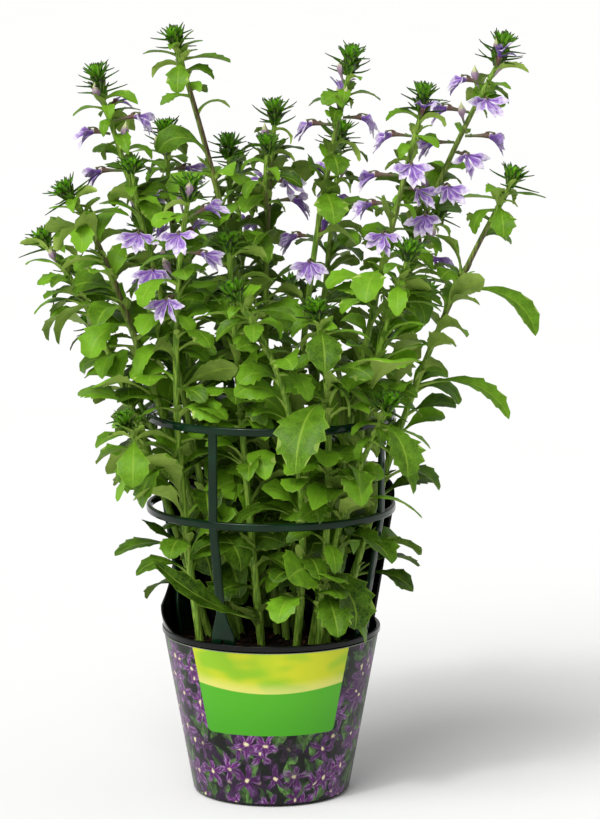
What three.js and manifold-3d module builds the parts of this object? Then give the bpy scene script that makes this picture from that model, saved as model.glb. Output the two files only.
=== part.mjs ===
// A potted fan flower: a round tapered pot with a printed wrap and a raised back wall, potting soil, a
// moulded support cage, leafy stems that end in spiky rosettes, and fan-shaped blooms under the rosettes.
// Millimetres and degrees, +Z up, origin at the centre of the pot's foot. -Y is the front, with the label.
import * as THREE from "three";
import { mergeVertices } from "three/addons/utils/BufferGeometryUtils.js";
import Module from "manifold-3d";

const wasm = await Module();
wasm.setup();

// Driving dimensions
const SIDES = 32;
const GAP = 0.3;
const SEAT = 0.3;
const POT = { foot: 42, rim: 60, height: 92.4, wall: 1.4, floor: 2 };
const LIP = { width: 1.8, height: 3.4, slope: 0.6 };
const BACK_WALL = { from: 15, to: 147, top: 168, slope: 0.17, inset: 0.6, corner: 12, columns: 16 };
const SHOULDER = { reach: 60, high: 34, low: 9, lift: 0.3, overlap: 2, columns: 7 };
const DRAIN = { count: 4, radius: 3.5, ring: 27, sides: 6 };
const WRAP = { thickness: 0.6, bottom: 1.5, top: 88.4 };
const SOIL = { top: 84, bump: 3, crown: 0.7, seed: 5 };
const CAGE = { middle: 158.4, top: 209.3, radius: 66.8, high: 4.4, thick: 2.8 };
const POST = { width: 5, thick: 2.4, firstTurn: -117, lean: CAGE.middle };
const FOOT = { bottom: 72, radius: 51.4, width: 14, top: 93, shoulder: 112 };
const FOOT_WINDOW = { width: 2.6, sill: 88, lintel: 94 };
const STEM = { root: 70, base: 2.5, tip: 1.5, shootBase: 1.6, shootTip: 1.2, stations: 7, sides: 6 };
const LEAF = { width: 0.46, thickness: 1.2, fold: 0.2, large: 44, seed: 11, stations: 16 };
const ROSETTE = { spacing: 3.2, first: 0.6, crown: 0.8, neck: 1.6, slim: 0.7, upright: 0.8 };
const NEEDLE = { length: 12, topLength: 0.55, shootLength: 0.85, lowRise: 6, highRise: 60 };
const BLOOM = { petal: 14, width: 5.4, spread: 36, lean: 0.4, thickness: 0.9, fold: 0.4, mouth: 1.8 };
const ROOM = { cell: 2.4, sample: 1.2, root: 0.1, near: 0.35, shoot: 300 };

const DEGREE = Math.PI / 180;
const { lerp, clamp, mapLinear } = THREE.MathUtils;
const vector = (x, y, z) => new THREE.Vector3(x, y, z);
const polar = (radius, turn, z) =>
  vector(radius * Math.cos(turn * DEGREE), radius * Math.sin(turn * DEGREE), z);

// A point this far from another along two directions.
const offset = (point, side, across, out, deep) =>
  point.clone().addScaledVector(side, across).addScaledVector(out, deep);

// The direction of a heading and a rise above the horizon.
const heading = (turn, rise) => polar(Math.cos(rise * DEGREE), turn, Math.sin(rise * DEGREE));

// A repeatable stream of numbers from 0 to 1.
function stream(seed) {
  let state = seed;
  return () => {
    state = (state * 1664525 + 1013904223) % 4294967296;
    return state / 4294967296;
  };
}

// Solids
function solidOf(geometry) {
  const bare = geometry.clone().deleteAttribute("normal").deleteAttribute("uv");
  const merged = mergeVertices(bare, 1e-4);
  return new wasm.Manifold(
    new wasm.Mesh({
      numProp: 3,
      vertProperties: merged.attributes.position.array,
      triVerts: new Uint32Array(merged.index.array),
    }),
  );
}

function geometryOf(solid) {
  const mesh = solid.getMesh();
  return new THREE.BufferGeometry()
    .setAttribute("position", new THREE.BufferAttribute(mesh.vertProperties, 3))
    .setIndex(new THREE.BufferAttribute(mesh.triVerts, 1));
}

const union = (solids) => solids.reduce((all, one) => all.add(one));

// The solid between points that these triangles close, turned so that its faces point out.
function closed(points, index) {
  const geometry = new THREE.BufferGeometry().setFromPoints(points).setIndex(index);
  const solid = solidOf(geometry);
  if (solid.volume() > 0) return solid;
  return solidOf(geometry.setIndex(index.reverse()));
}

// A closed skin over rings of the same number of points; the first and the last ring may be one point.
// Diagonals alternate round the ring, so both faces of a folded blade are split alike.
function skin(rings) {
  const sides = Math.max(...rings.map((ring) => ring.length));
  const starts = [];
  let start = 0;
  for (const ring of rings) {
    starts.push(start);
    start += ring.length;
  }
  const index = [];
  const cap = (first, turned) => {
    for (let j = 1; j < sides - 1; j++) index.push(first, first + j + 1 - turned, first + j + turned);
  };
  if (rings[0].length > 1) cap(0, 0);
  for (let i = 0; i + 1 < rings.length; i++) {
    const [a, b] = [starts[i], starts[i + 1]];
    for (let j = 0; j < sides; j++) {
      const k = (j + 1) % sides;
      if (rings[i].length === 1) index.push(a, b + k, b + j);
      else if (rings[i + 1].length === 1) index.push(a + j, a + k, b);
      else if (j % 2) index.push(a + j, a + k, b + j, a + k, b + k, b + j);
      else index.push(a + j, a + k, b + k, a + j, b + k, b + j);
    }
  }
  if (rings.at(-1).length > 1) cap(starts.at(-1), 1);
  return closed(rings.flat(), index);
}

// A turned solid: its [radius, height] profile starts and ends on the axis, or closes on itself.
function turned(profile) {
  const points = profile.map(([radius, height]) => new THREE.Vector2(radius, height));
  return solidOf(new THREE.LatheGeometry(points, SIDES).rotateX(Math.PI / 2));
}

// Pot, wrap and soil
const lipFoot = POT.height - LIP.height;
const potRadius = (z) => mapLinear(z, 0, lipFoot, POT.foot, POT.rim - LIP.width);
const insideRadius = (z) => potRadius(z) - POT.wall;
const backRadius = (z) => POT.rim - BACK_WALL.inset + BACK_WALL.slope * (z - POT.height);
const shoulderEnd = BACK_WALL.to + SHOULDER.reach;

// How far a corner that rounds off an edge drops it, this far in degrees from the edge's end.
function cornerDrop(degrees) {
  const share = clamp((degrees * DEGREE * POT.rim) / BACK_WALL.corner, 0, 1);
  return BACK_WALL.corner * (1 - Math.sqrt(1 - (1 - share) ** 2));
}

const backTop = (turn) => BACK_WALL.top - cornerDrop(turn - BACK_WALL.from) - cornerDrop(BACK_WALL.to - turn);

// The shoulder falls from the back wall's left end down to the rim.
function shoulderTop(turn) {
  const left = 1 - (turn - BACK_WALL.to) / SHOULDER.reach;
  const rise = SHOULDER.low * Math.min(1, 2 * left) + (SHOULDER.high - SHOULDER.low) * left ** 6;
  return POT.height + SHOULDER.lift + rise;
}

function raisedWall(from, to, columns, topAt) {
  const low = lipFoot + LIP.slope;
  const rings = [];
  for (let i = 0; i <= columns; i++) {
    const turn = lerp(from, to, i / columns);
    const top = topAt(turn);
    rings.push([
      polar(backRadius(low) - POT.wall, turn, low),
      polar(backRadius(top) - POT.wall, turn, top),
      polar(backRadius(top), turn, top),
      polar(backRadius(low), turn, low),
    ]);
  }
  return skin(rings);
}

function pot() {
  const shell = turned([
    [0, 0],
    [POT.foot, 0],
    [potRadius(lipFoot), lipFoot],
    [POT.rim, lipFoot + LIP.slope],
    [POT.rim, POT.height],
    [insideRadius(POT.height), POT.height],
    [insideRadius(POT.floor), POT.floor],
    [0, POT.floor],
  ]);
  const drain = new THREE.CylinderGeometry(DRAIN.radius, DRAIN.radius, 4 * POT.floor, DRAIN.sides);
  const drains = [];
  for (let i = 0; i < DRAIN.count; i++) {
    const centre = polar(DRAIN.ring, (360 * i) / DRAIN.count, 0);
    drains.push(solidOf(drain.clone().rotateX(Math.PI / 2).translate(centre.x, centre.y, 0)));
  }
  const back = raisedWall(BACK_WALL.from, BACK_WALL.to, BACK_WALL.columns, backTop);
  const shoulder = raisedWall(BACK_WALL.to - SHOULDER.overlap, shoulderEnd, SHOULDER.columns, shoulderTop);
  return union([shell, back, shoulder]).subtract(union(drains));
}

function wrap() {
  const { bottom, top, thickness } = WRAP;
  const at = (z, out) => [potRadius(z) + GAP + out, z];
  return turned([at(bottom, 0), at(bottom, thickness), at(top, thickness), at(top, 0), at(bottom, 0)]);
}

// Crumbled ground: rings whose heights vary by a seeded draw.
function ground() {
  const random = stream(SOIL.seed);
  const ring = (radius, z, bump) =>
    Array.from({ length: SIDES }, (_, i) => polar(radius, (360 * i) / SIDES, z + bump * (random() - 0.5)));
  const floor = POT.floor + GAP;
  const edge = insideRadius(SOIL.top) - 2 * GAP;
  return skin([
    ring(insideRadius(floor) - 2 * GAP, floor, 0),
    ring(edge, SOIL.top - SOIL.bump / 3, 0),
    ring(edge * SOIL.crown, SOIL.top, SOIL.bump),
    [vector(0, 0, SOIL.top + SOIL.bump / 2)],
  ]);
}

// Cage: two rings on four posts whose feet stand in the soil inside the rim
const postTurns = [0, 1, 2, 3].map((i) => POST.firstTurn + 90 * i);
const postRadius = (z) => mapLinear(Math.min(z, POST.lean), FOOT.bottom, POST.lean, FOOT.radius, CAGE.radius);

function cageRing(z) {
  const [low, high] = [z - CAGE.high / 2, z + CAGE.high / 2];
  const [inner, outer] = [CAGE.radius - CAGE.thick / 2, CAGE.radius + CAGE.thick / 2];
  return turned([[inner, low], [outer, low], [outer, high], [inner, high], [inner, low]]);
}

// A flat post that widens into a wedge foot; extra grows it all round.
function post(turn, extra) {
  const out = polar(1, turn, 0);
  const side = polar(1, turn + 90, 0);
  const half = POST.thick / 2 + extra;
  const levels = [
    [FOOT.bottom - extra, FOOT.width],
    [FOOT.top, FOOT.width],
    [FOOT.shoulder, POST.width],
    [POST.lean, POST.width],
    [CAGE.top, POST.width],
  ];
  const rings = levels.map(([z, width]) => {
    const centre = out.clone().multiplyScalar(postRadius(z)).setZ(z);
    const reach = width / 2 + extra;
    const corners = [[-reach, -half], [reach, -half], [reach, half], [-reach, half]];
    return corners.map(([across, deep]) => offset(centre, side, across, out, deep));
  });
  return skin(rings);
}

function footWindow(turn) {
  const high = FOOT_WINDOW.lintel - FOOT_WINDOW.sill;
  const hole = new THREE.BoxGeometry(4 * POST.thick, FOOT_WINDOW.width, high);
  hole.translate(postRadius(FOOT_WINDOW.sill), 0, FOOT_WINDOW.sill + high / 2);
  return solidOf(hole.rotateZ(turn * DEGREE));
}

function cage() {
  const frame = union([cageRing(CAGE.middle), cageRing(CAGE.top), ...postTurns.map((turn) => post(turn, 0))]);
  return frame.subtract(union(postTurns.map(footWindow)));
}

// Room: a grid of cells, each held by the piece placed there first. A blade is clear when no cell that it
// enters, and none next to one, is held by another piece.
const held = new Map();
const cellOf = (p) => [p.x, p.y, p.z].map((value) => Math.floor(value / ROOM.cell) + 200);
const keyOf = (x, y, z) => (x * 1000 + y) * 1000 + z;

function claim(points, owner) {
  for (const p of points) held.set(keyOf(...cellOf(p)), owner);
}

function clear(points, ...allowed) {
  return points.every((p) => {
    const [x, y, z] = cellOf(p);
    for (let i = -1; i <= 1; i++)
      for (let j = -1; j <= 1; j++)
        for (let k = -1; k <= 1; k++) {
          const other = held.get(keyOf(x + i, y + j, z + k));
          if (other !== undefined && !allowed.includes(other)) return false;
        }
    return true;
  });
}

// Points on the line between two points, no further apart than a sample.
function between(a, b) {
  const steps = Math.max(1, Math.ceil(a.distanceTo(b) / ROOM.sample));
  return Array.from({ length: steps + 1 }, (_, i) => a.clone().lerp(b, i / steps));
}

// The pot, its soil and the cage hold their cells before anything grows.
function claimHolder() {
  const wallAt = (turn, z) => polar(backRadius(z) - POT.wall / 2, turn, z);
  for (let turn = 0; turn < 360; turn++) {
    const raised = turn >= BACK_WALL.from && turn <= shoulderEnd;
    const wallTop = turn <= BACK_WALL.to ? backTop(turn) : shoulderTop(turn);
    claim(between(wallAt(turn, lipFoot), wallAt(turn, raised ? wallTop : POT.height)), "holder");
    claim(between(vector(0, 0, SOIL.top), polar(POT.rim, turn, SOIL.top)), "holder");
    for (const level of [CAGE.middle, CAGE.top]) claim([polar(CAGE.radius, turn, level)], "holder");
  }
  const halfPost = POST.width / 2 / CAGE.radius / DEGREE;
  for (const turn of postTurns)
    for (const side of [-halfPost, halfPost]) {
      const at = (z) => polar(postRadius(z), turn + side, z);
      claim(between(at(FOOT.bottom), at(POST.lean)), "holder");
      claim(between(at(POST.lean), at(CAGE.top)), "holder");
    }
}

// Plant
// A line through three points: the middle one is passed half way.
function bend(from, via, to) {
  const middle = via.clone().multiplyScalar(2).addScaledVector(from, -0.5).addScaledVector(to, -0.5);
  return new THREE.QuadraticBezierCurve3(from, middle, to);
}

// Points round a stem; those with the parity of the star reach out to the tips of its needles.
function stemRing(centre, along, radius, star, sides = STEM.sides) {
  const right = vector(0, 1, 0).cross(along).normalize();
  const ahead = along.clone().cross(right);
  return Array.from({ length: sides }, (_, i) => {
    const turn = ((2 * Math.PI) / sides) * i;
    const out = right.clone().multiplyScalar(Math.cos(turn)).addScaledVector(ahead, Math.sin(turn));
    const point = centre.clone().addScaledVector(out, radius);
    const needle = star && i % 2 === star.parity;
    return needle ? offset(point, out, star.reach, along, star.lift) : point;
  });
}

// The needles of a rosette's tiers, from the lowest to the top one: shorter and steeper towards the top.
function needleStar(tier, tiers, length) {
  const rank = tier / Math.max(1, tiers - 1);
  const rise = lerp(NEEDLE.lowRise, NEEDLE.highRise, rank ** 1.4) * DEGREE;
  const reach = length * lerp(1, NEEDLE.topLength, rank ** 2);
  return { parity: tier % 2, reach: reach * Math.cos(rise), lift: reach * Math.sin(rise) };
}

// A rosette's axis leaves the tip of its stem and turns upright.
const rosetteAxis = (curve) => curve.getTangent(1).add(vector(0, 0, ROSETTE.upright)).normalize();

// A stem and its rosette in one skin.
function shootSolid({ curve, tiers, base, tip, needle }) {
  const rings = [];
  for (let i = 0; i < STEM.stations; i++) {
    const share = i / (STEM.stations - 1);
    rings.push(stemRing(curve.getPoint(share), curve.getTangent(share), lerp(base, tip, share)));
  }
  const along = rosetteAxis(curve);
  const axisAt = (tier) => curve.getPoint(1).addScaledVector(along, tier * ROSETTE.spacing);
  for (let tier = 0; tier < tiers; tier++) {
    const place = tier + ROSETTE.first;
    const neck = ROSETTE.neck * lerp(1, ROSETTE.slim, tier / tiers);
    rings.push(stemRing(axisAt(place), along, neck, needleStar(tier, tiers, needle)));
    if (tier < tiers - 1) rings.push(stemRing(axisAt(place + 0.5), along, neck));
  }
  rings.push([axisAt(tiers + ROSETTE.crown)]);
  return skin(rings);
}

// Points on a shoot's stem and needles, for its room.
function shootPoints({ curve, tiers, needle }) {
  const points = curve.getPoints(ROOM.shoot);
  const along = rosetteAxis(curve);
  for (let tier = 0; tier < tiers; tier++) {
    const centre = curve.getPoint(1).addScaledVector(along, (tier + ROSETTE.first) * ROSETTE.spacing);
    const tips = stemRing(centre, along, 0, needleStar(tier, tiers, needle));
    for (const tip of tips) points.push(...between(centre, tip));
  }
  return points;
}

// A leaf's midrib: it leaves its root with a turn and a rise, and droops towards its tip. Each station has
// its point, its side direction and its face direction, rolled more and more along the blade.
function midrib(leaf) {
  const stations = [];
  const point = leaf.root.clone();
  const riseAt = (share) => leaf.rise - leaf.droop * share ** 1.3;
  const turnAt = (share) => leaf.turn + leaf.sweep * share;
  for (let i = 0; i <= LEAF.stations; i++) {
    const share = i / LEAF.stations;
    const level = polar(1, turnAt(share) + 90, 0);
    const up = heading(turnAt(share), riseAt(share) + 90);
    const roll = leaf.roll * share * DEGREE;
    stations.push({
      point: point.clone(),
      side: level.clone().multiplyScalar(Math.cos(roll)).addScaledVector(up, Math.sin(roll)),
      face: up.clone().multiplyScalar(Math.cos(roll)).addScaledVector(level, -Math.sin(roll)),
    });
    const next = (i + 0.5) / LEAF.stations;
    point.addScaledVector(heading(turnAt(next), riseAt(next)), leaf.length / LEAF.stations);
  }
  return stations;
}

function stationAt(stations, share) {
  const place = share * LEAF.stations;
  const low = Math.min(LEAF.stations - 1, Math.floor(place));
  const mix = (name) => stations[low][name].clone().lerp(stations[low + 1][name], place - low);
  return { point: mix("point"), side: mix("side").normalize(), face: mix("face").normalize() };
}

// Half widths along a blade, as [share of length, share of half width]; the steps back are its teeth.
const OUTLINES = {
  large: [[0.28, 0.18], [0.52, 0.86], [0.66, 1], [0.72, 0.78]],
  small: [[0.3, 0.2], [0.62, 1], [0.82, 0.6]],
};

// A large leaf is folded along its midrib; a small one is flat with a keel.
function leafSolid(leaf) {
  const stations = midrib(leaf);
  const large = leaf.length > LEAF.large;
  const rings = OUTLINES[large ? "large" : "small"].map(([share, wide]) => {
    const { point, side, face } = stationAt(stations, share);
    const half = (wide * leaf.width) / 2;
    const folded = large ? half * LEAF.fold : 0;
    const edges = [1, -1].map((way) => offset(point, side, way * half, face, folded));
    const top = point.clone().addScaledVector(face, LEAF.thickness / 2);
    const keel = point.clone().addScaledVector(face, -LEAF.thickness / (large ? 2 : 1));
    return large ? [edges[0], top, edges[1], keel] : [...edges, keel];
  });
  return skin([[leaf.root], ...rings, [stations.at(-1).point]]);
}

// Samples over a blade between two shares of its length, for its room: it widens from its narrow foot to
// its full width and narrows again to its tip.
function bladePoints(leaf, from, to) {
  const stations = midrib(leaf);
  const points = [];
  const steps = Math.ceil(((to - from) * leaf.length) / ROOM.sample);
  for (let i = 0; i <= steps; i++) {
    const share = lerp(from, to, i / steps);
    const { point, side, face } = stationAt(stations, share);
    const wide = clamp(4 * (share - 0.24), 0.15, 1) * clamp(2.6 * (1 - share) + 0.1, 0.1, 1);
    const half = (wide * leaf.width) / 2;
    const across = Math.ceil(half / ROOM.sample);
    for (let j = -across; j <= across; j++) {
      const reach = (half * j) / across;
      points.push(offset(point, side, reach, face, Math.abs(reach) * LEAF.fold));
    }
  }
  return points;
}

// Stems: where each leaves the soil [x, y], the point it passes half way, where its rosette starts, and the
// rosette's tiers. By rule it has a count of leaves within a reach, given in shares of its length, none
// longer than longest. A stem that joins another forks from its foot. Leaves of its own are
// [height, turn, rise, length, droop, roll, width as a share of length, sweep of the turn along the blade],
// and blooms [height, turn, tilt, length of tube].
const STEMS = [
  {
    name: "tall_left", base: [9, -5], via: [-11, -5, 246], tip: [-50, -10, 408], tiers: 4,
    count: 8, reach: [0.14, 0.7], longest: 50,
    own: [
      [341, 182, 4, 56, 85, -20, 0.28], [400, -95, 0, 26, 95, 0, 0.5], [402, -10, 12, 28, 35, 10],
      [404, 185, 20, 20, 40, 0], [407, 25, 30, 16, 30, 0],
    ],
  },
  {
    name: "upper_left", base: [-22, -13], via: [-52, -16, 245], tip: [-90, -20, 384], tiers: 6,
    count: 8, reach: [0.16, 0.84], longest: 42,
    own: [[376, 200, 20, 20, 70, 0], [374, 20, 20, 20, 40, 0]],
    blooms: [[364, 190, 15, 9], [370, -20, 15, 13], [344, 188, 5, 11], [311, -100, 5, 9], [291, -90, 5, 9]],
    shoots: [{ from: 0.8, via: [-71, -26, 326], tip: [-73, -33, 343], tiers: 3 }],
  },
  {
    name: "dark_left", base: [-14, 12], via: [-44, 17, 230], tip: [-57, 20, 354], tiers: 5,
    count: 8, reach: [0.18, 0.86], longest: 42,
    own: [[346, -60, 15, 22, 60, 0], [349, 170, 20, 20, 40, 0]],
    blooms: [[341, -25, 15, 9], [319, -130, 5, 9]],
  },
  {
    name: "outer_left", base: [-15, 0], via: [-75, -24, 260], tip: [-105, -35, 329], tiers: 4,
    count: 7, reach: [0.16, 0.6], longest: 44,
    own: [
      [270, 180, 20, 48, 115, 10], [318, -95, -5, 26, 85, 0, 0.5], [321, 5, 15, 25, 40, 10],
      [324, 190, 15, 17, 30, 0], [296, -140, 40, 18, 40, 0],
    ],
  },
  {
    name: "far_left", base: [-30, 4], via: [-80, 3, 222], tip: [-121, 5, 299], tiers: 4,
    count: 8, reach: [0.18, 0.88], longest: 42,
    own: [[268, 190, 30, 32, 90, 0], [284, -120, 10, 18, 60, 0]],
    shoots: [{ from: 0.66, via: [-98, 16, 262], tip: [-107, 22, 284], tiers: 3 }],
  },
  {
    name: "middle_left", base: [-5, 16], via: [-18, 19, 225], tip: [-23, 24, 346], tiers: 5,
    count: 9, reach: [0.18, 0.9], longest: 46,
    own: [[338, -60, 10, 24, 70, 0], [283, -150, 0, 32, 60, 0]],
  },
  {
    name: "centre", base: [4, 6], via: [-3, 5, 240], tip: [2, 5, 366], tiers: 5,
    count: 9, reach: [0.18, 0.9], longest: 50,
    own: [[350, 15, 25, 24, 50, 0]], blooms: [[336, -45, 10, 9], [325, 5, 10, 11]],
    shoots: [{ from: 0.8, via: [-3, -12, 330], tip: [-2, -21, 352], tiers: 4 }],
  },
  {
    name: "front_left", base: [-36, -22], via: [-50, -34, 215], tip: [-43, -53, 330], tiers: 5,
    count: 9, reach: [0.14, 0.84], longest: 42,
    own: [[300, -170, 10, 24, 60, 0], [136, 175, 45, 32, 20, 0]],
    blooms: [[313, -100, 10, 10], [303, -25, 5, 10], [322, -10, 35, 10], [281, -120, -10, 8]],
    shoots: [{
      from: 0.36, via: [-60, -40, 186], tip: [-75, -50, 208], tiers: 4,
      own: [[196, 185, 15, 28, 70, 0, 0.7], [203, -90, -5, 36, 90, 0, 0.5], [192, -160, -30, 30, 50, 0]],
    }],
  },
  {
    name: "tall_centre", base: [14, 6], via: [17, 2, 240], tip: [42, 0, 393], tiers: 6,
    count: 8, reach: [0.18, 0.84], longest: 48,
    own: [
      [350, -80, 10, 26, 75, 0, 0.6], [378, 190, 30, 20, 80, 0], [381, -5, 30, 22, 80, 0],
      [330, -70, 0, 32, 70, 0, 0.6],
    ],
    blooms: [[366, 187, 10, 12], [371, -8, 5, 10], [306, 195, 10, 9], [293, -100, 5, 8]],
  },
  {
    name: "upper_right", base: [20, -15], via: [48, -23, 235], tip: [80, -25, 374], tiers: 6,
    count: 8, reach: [0.16, 0.8], longest: 46,
    own: [[362, -50, 10, 20, 60, 0], [290, -100, 10, 36, 80, 0, 0.55]],
    blooms: [
      [362, 190, 10, 11], [348, -85, 5, 10], [341, 178, 5, 14], [335, -45, 5, 9], [326, 185, 5, 12],
      [311, -110, 5, 9],
    ],
  },
  {
    name: "tall_right", base: [28, -3], via: [58, -12, 245], tip: [121, -5, 398], tiers: 7,
    count: 8, reach: [0.16, 0.74], longest: 46,
    own: [[330, -60, -10, 26, 70, 0]],
    blooms: [
      [388, 190, 20, 10], [380, -75, 10, 10], [373, 178, 15, 12], [362, -12, 5, 13], [357, 195, 5, 11],
      [353, -60, 0, 10], [336, -70, 0, 9], [321, -100, -5, 8],
    ],
  },
  {
    name: "outer_right", base: [32, -8], via: [76, -13, 220], tip: [128, -15, 334], tiers: 4,
    count: 5, reach: [0.16, 0.5], longest: 44,
    own: [
      [278, -5, 12, 56, 95, 20, 0.26], [280, 150, 20, 20, 30, 0], [284, 30, 55, 14, 0, 0],
      [324, -85, -5, 26, 80, 0, 0.55], [328, 172, 5, 27, 15, 0], [331, -15, 5, 22, 25, 0],
      [226, -6, 20, 60, 90, 15, 0.24],
    ],
  },
  {
    name: "low_right", base: [28, -26], via: [49, -35, 206], tip: [72, -50, 298], tiers: 4,
    count: 8, reach: [0.14, 0.84], longest: 46,
    own: [
      [288, 0, 20, 22, 50, 0], [285, -120, 0, 24, 70, 0], [242, -20, 35, 32, 30, 0],
      [222, -55, 35, 58, 60, 0, 0.6],
    ],
  },
  {
    name: "front_bright", base: [12, -26], via: [14, -50, 196], tip: [-17, -68, 279], tiers: 4,
    count: 5, reach: [0.14, 0.5], longest: 44,
    own: [
      [269, 165, 20, 26, 40, 0], [272, -5, 20, 30, 40, 0], [266, -90, 10, 24, 60, 0],
      [275, 75, 40, 26, 40, 0],
    ],
  },
  {
    name: "front_centre", base: [24, -36], via: [31, -50, 190], tip: [25, -62, 268], tiers: 4,
    count: 5, reach: [0.14, 0.8], longest: 44,
    own: [
      [262, -85, 10, 38, 95, 0, 0.52], [260, 5, 20, 28, 60, 0], [222, -110, 15, 66, 105, 0, 0.42],
      [118, -75, 0, 38, 70, 0, 0.55],
    ],
  },
  {
    name: "front_right", base: [20, -22], via: [38, -45, 158], tip: [61, -62, 219], tiers: 4,
    count: 3, reach: [0.2, 0.6], longest: 40,
    own: [
      [213, -60, 0, 42, 95, 0, 0.5], [210, -5, 5, 32, 60, 0], [204, -25, -25, 38, 55, 0],
      [168, -20, 25, 46, 75, -20, 0.42],
    ],
  },
  {
    name: "front_inner", base: [-4, -20], via: [-14, -32, 190], tip: [-22, -38, 301], tiers: 4,
    count: 8, reach: [0.16, 0.9], longest: 46,
    own: [[101, -95, 8, 108, -40, 0, 0.16, -90], [94, -140, 50, 26, 20, 0, 0.6]],
  },
  {
    name: "back_left", base: [-20, 22], via: [-40, 38, 195], tip: [-70, 60, 298], tiers: 5,
    count: 8, reach: [0.2, 0.88], longest: 46, blooms: [[275, 120, 10, 8]],
  },
  {
    name: "back_middle", base: [-2, 30], via: [-12, 44, 210], tip: [-20, 80, 333], tiers: 5,
    count: 9, reach: [0.2, 0.88], longest: 46, blooms: [[308, 60, 10, 8]],
  },
  {
    name: "back_tall", base: [10, 18], via: [24, 42, 215], tip: [38, 70, 348], tiers: 6,
    count: 9, reach: [0.2, 0.86], longest: 46, blooms: [[320, 90, 15, 8]],
  },
  {
    name: "back_right", base: [28, 18], via: [48, 30, 205], tip: [92, 48, 310], tiers: 5,
    count: 8, reach: [0.2, 0.88], longest: 46, blooms: [[290, 30, 10, 8]],
  },
  {
    name: "low_left", joins: "back_left", base: [-20, 22], via: [-52, 37, 165], tip: [-98, 45, 248],
    tiers: 4, count: 7, reach: [0.3, 0.88], longest: 42,
  },
  {
    name: "low_back_right", joins: "back_right", base: [28, 18], via: [40, 36, 200], tip: [84, 76, 262],
    tiers: 4, count: 7, reach: [0.24, 0.88], longest: 44,
  },
  {
    name: "low_back", joins: "back_middle", base: [-2, 30], via: [4, 50, 195], tip: [10, 102, 262],
    tiers: 4, count: 7, reach: [0.24, 0.88], longest: 44,
  },
];

// The share at which a curve that climbs reaches a height.
function shareAt(curve, height) {
  let [low, high] = [0, 1];
  for (let i = 0; i < 30; i++) {
    const middle = (low + high) / 2;
    if (curve.getPoint(middle).z < height) low = middle;
    else high = middle;
  }
  return low;
}

// Each stem's main shoot and side shoots.
function layOut(row, index) {
  const curve = bend(vector(...row.base, STEM.root), vector(...row.via), vector(...row.tip));
  const { tiers, own } = row;
  const main = { curve, tiers, own, base: STEM.base, tip: STEM.tip, needle: NEEDLE.length };
  const sides = (row.shoots ?? []).map((side) => ({
    curve: bend(curve.getPoint(side.from), vector(...side.via), vector(...side.tip)),
    tiers: side.tiers,
    own: side.own,
    base: STEM.shootBase,
    tip: STEM.shootTip,
    needle: NEEDLE.shootLength * NEEDLE.length,
  }));
  return { ...row, index, curve, node: row.joins ?? row.name, shoots: [main, ...sides], leaves: [] };
}

// A point on the straight run between two stations of a stem, as its solid has them.
function onRun(curve, share) {
  const runs = STEM.stations - 1;
  const low = Math.min(runs - 1, Math.floor(share * runs));
  return curve.getPoint(low / runs).lerp(curve.getPoint((low + 1) / runs), share * runs - low);
}

// A bloom's frame: its tube starts beside the stem and points along the turn and the tilt.
function bloomFrame(stem, [height, turn, tilt]) {
  const share = shareAt(stem.curve, height);
  const out = heading(turn, tilt);
  const along = stem.curve.getTangent(share);
  const away = out.clone().addScaledVector(along, -out.dot(along)).normalize();
  const root = onRun(stem.curve, share).addScaledVector(away, lerp(STEM.base, STEM.tip, share) + SEAT);
  const side = polar(1, turn + 90, 0);
  return new THREE.Matrix4().makeBasis(out, side, out.clone().cross(side)).setPosition(root);
}

// A petal of the fan: its direction and side direction in the bloom's own frame.
function petal(place) {
  const swing = (place - 2) * BLOOM.spread * DEGREE;
  const along = vector(BLOOM.lean, Math.sin(swing), -Math.cos(swing)).normalize();
  return { along, side: vector(0, Math.cos(swing), Math.sin(swing)) };
}

// A bloom in its own frame: a slit tube that widens along +X, and five folded petals that hang from its end.
// A petal's reaches are shares of its length: its widest place, its ridge, its tip and the notch beside it.
// At its widest it stays inside its share of the fan, so neighbours don't cross.
const PETAL = { wide: 0.68, ridge: 0.55, tip: 1, notch: 0.24 };

function bloomSolid(tube) {
  const points = [];
  const index = [];
  const add = (x, y, z) => points.push(vector(x, y, z)) - 1;
  const throat = vector(tube, 0, -BLOOM.mouth / 3);
  const addOn = ({ along, side }, reach, across, out) => {
    const place = offset(throat, along, reach * BLOOM.petal, side, across);
    return points.push(place.add(vector(out, 0, 0))) - 1;
  };
  const root = add(0, 0, 0);
  const left = add(tube, -BLOOM.mouth, 1);
  const right = add(tube, BLOOM.mouth, 1);
  const back = add(tube - 1.2, 0, -1.4);
  const front = add(tube + BLOOM.fold, 0, -0.8);
  index.push(root, left, right, root, right, back, root, back, left, left, front, right);
  let before = left;
  for (let place = 0; place < 5; place++) {
    const way = petal(place);
    const near = addOn(way, PETAL.wide, -BLOOM.width / 2, 0);
    const far = addOn(way, PETAL.wide, BLOOM.width / 2, 0);
    const ridge = addOn(way, PETAL.ridge, 0, -BLOOM.fold);
    const keel = addOn(way, PETAL.ridge, 0, -BLOOM.fold - BLOOM.thickness);
    const tip = addOn(way, PETAL.tip, 0, -BLOOM.fold);
    index.push(front, before, near, front, near, ridge, front, ridge, far, near, tip, ridge, ridge, tip, far);
    index.push(back, near, before, back, keel, near, back, far, keel, keel, tip, near, far, tip, keel);
    before = far;
    if (place < 4) {
      const notch = addOn(petal(place + 0.5), PETAL.notch, 0, 0);
      index.push(front, far, notch, back, notch, far);
      before = notch;
    }
  }
  index.push(front, before, right, back, right, before);
  return closed(points, index);
}

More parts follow.
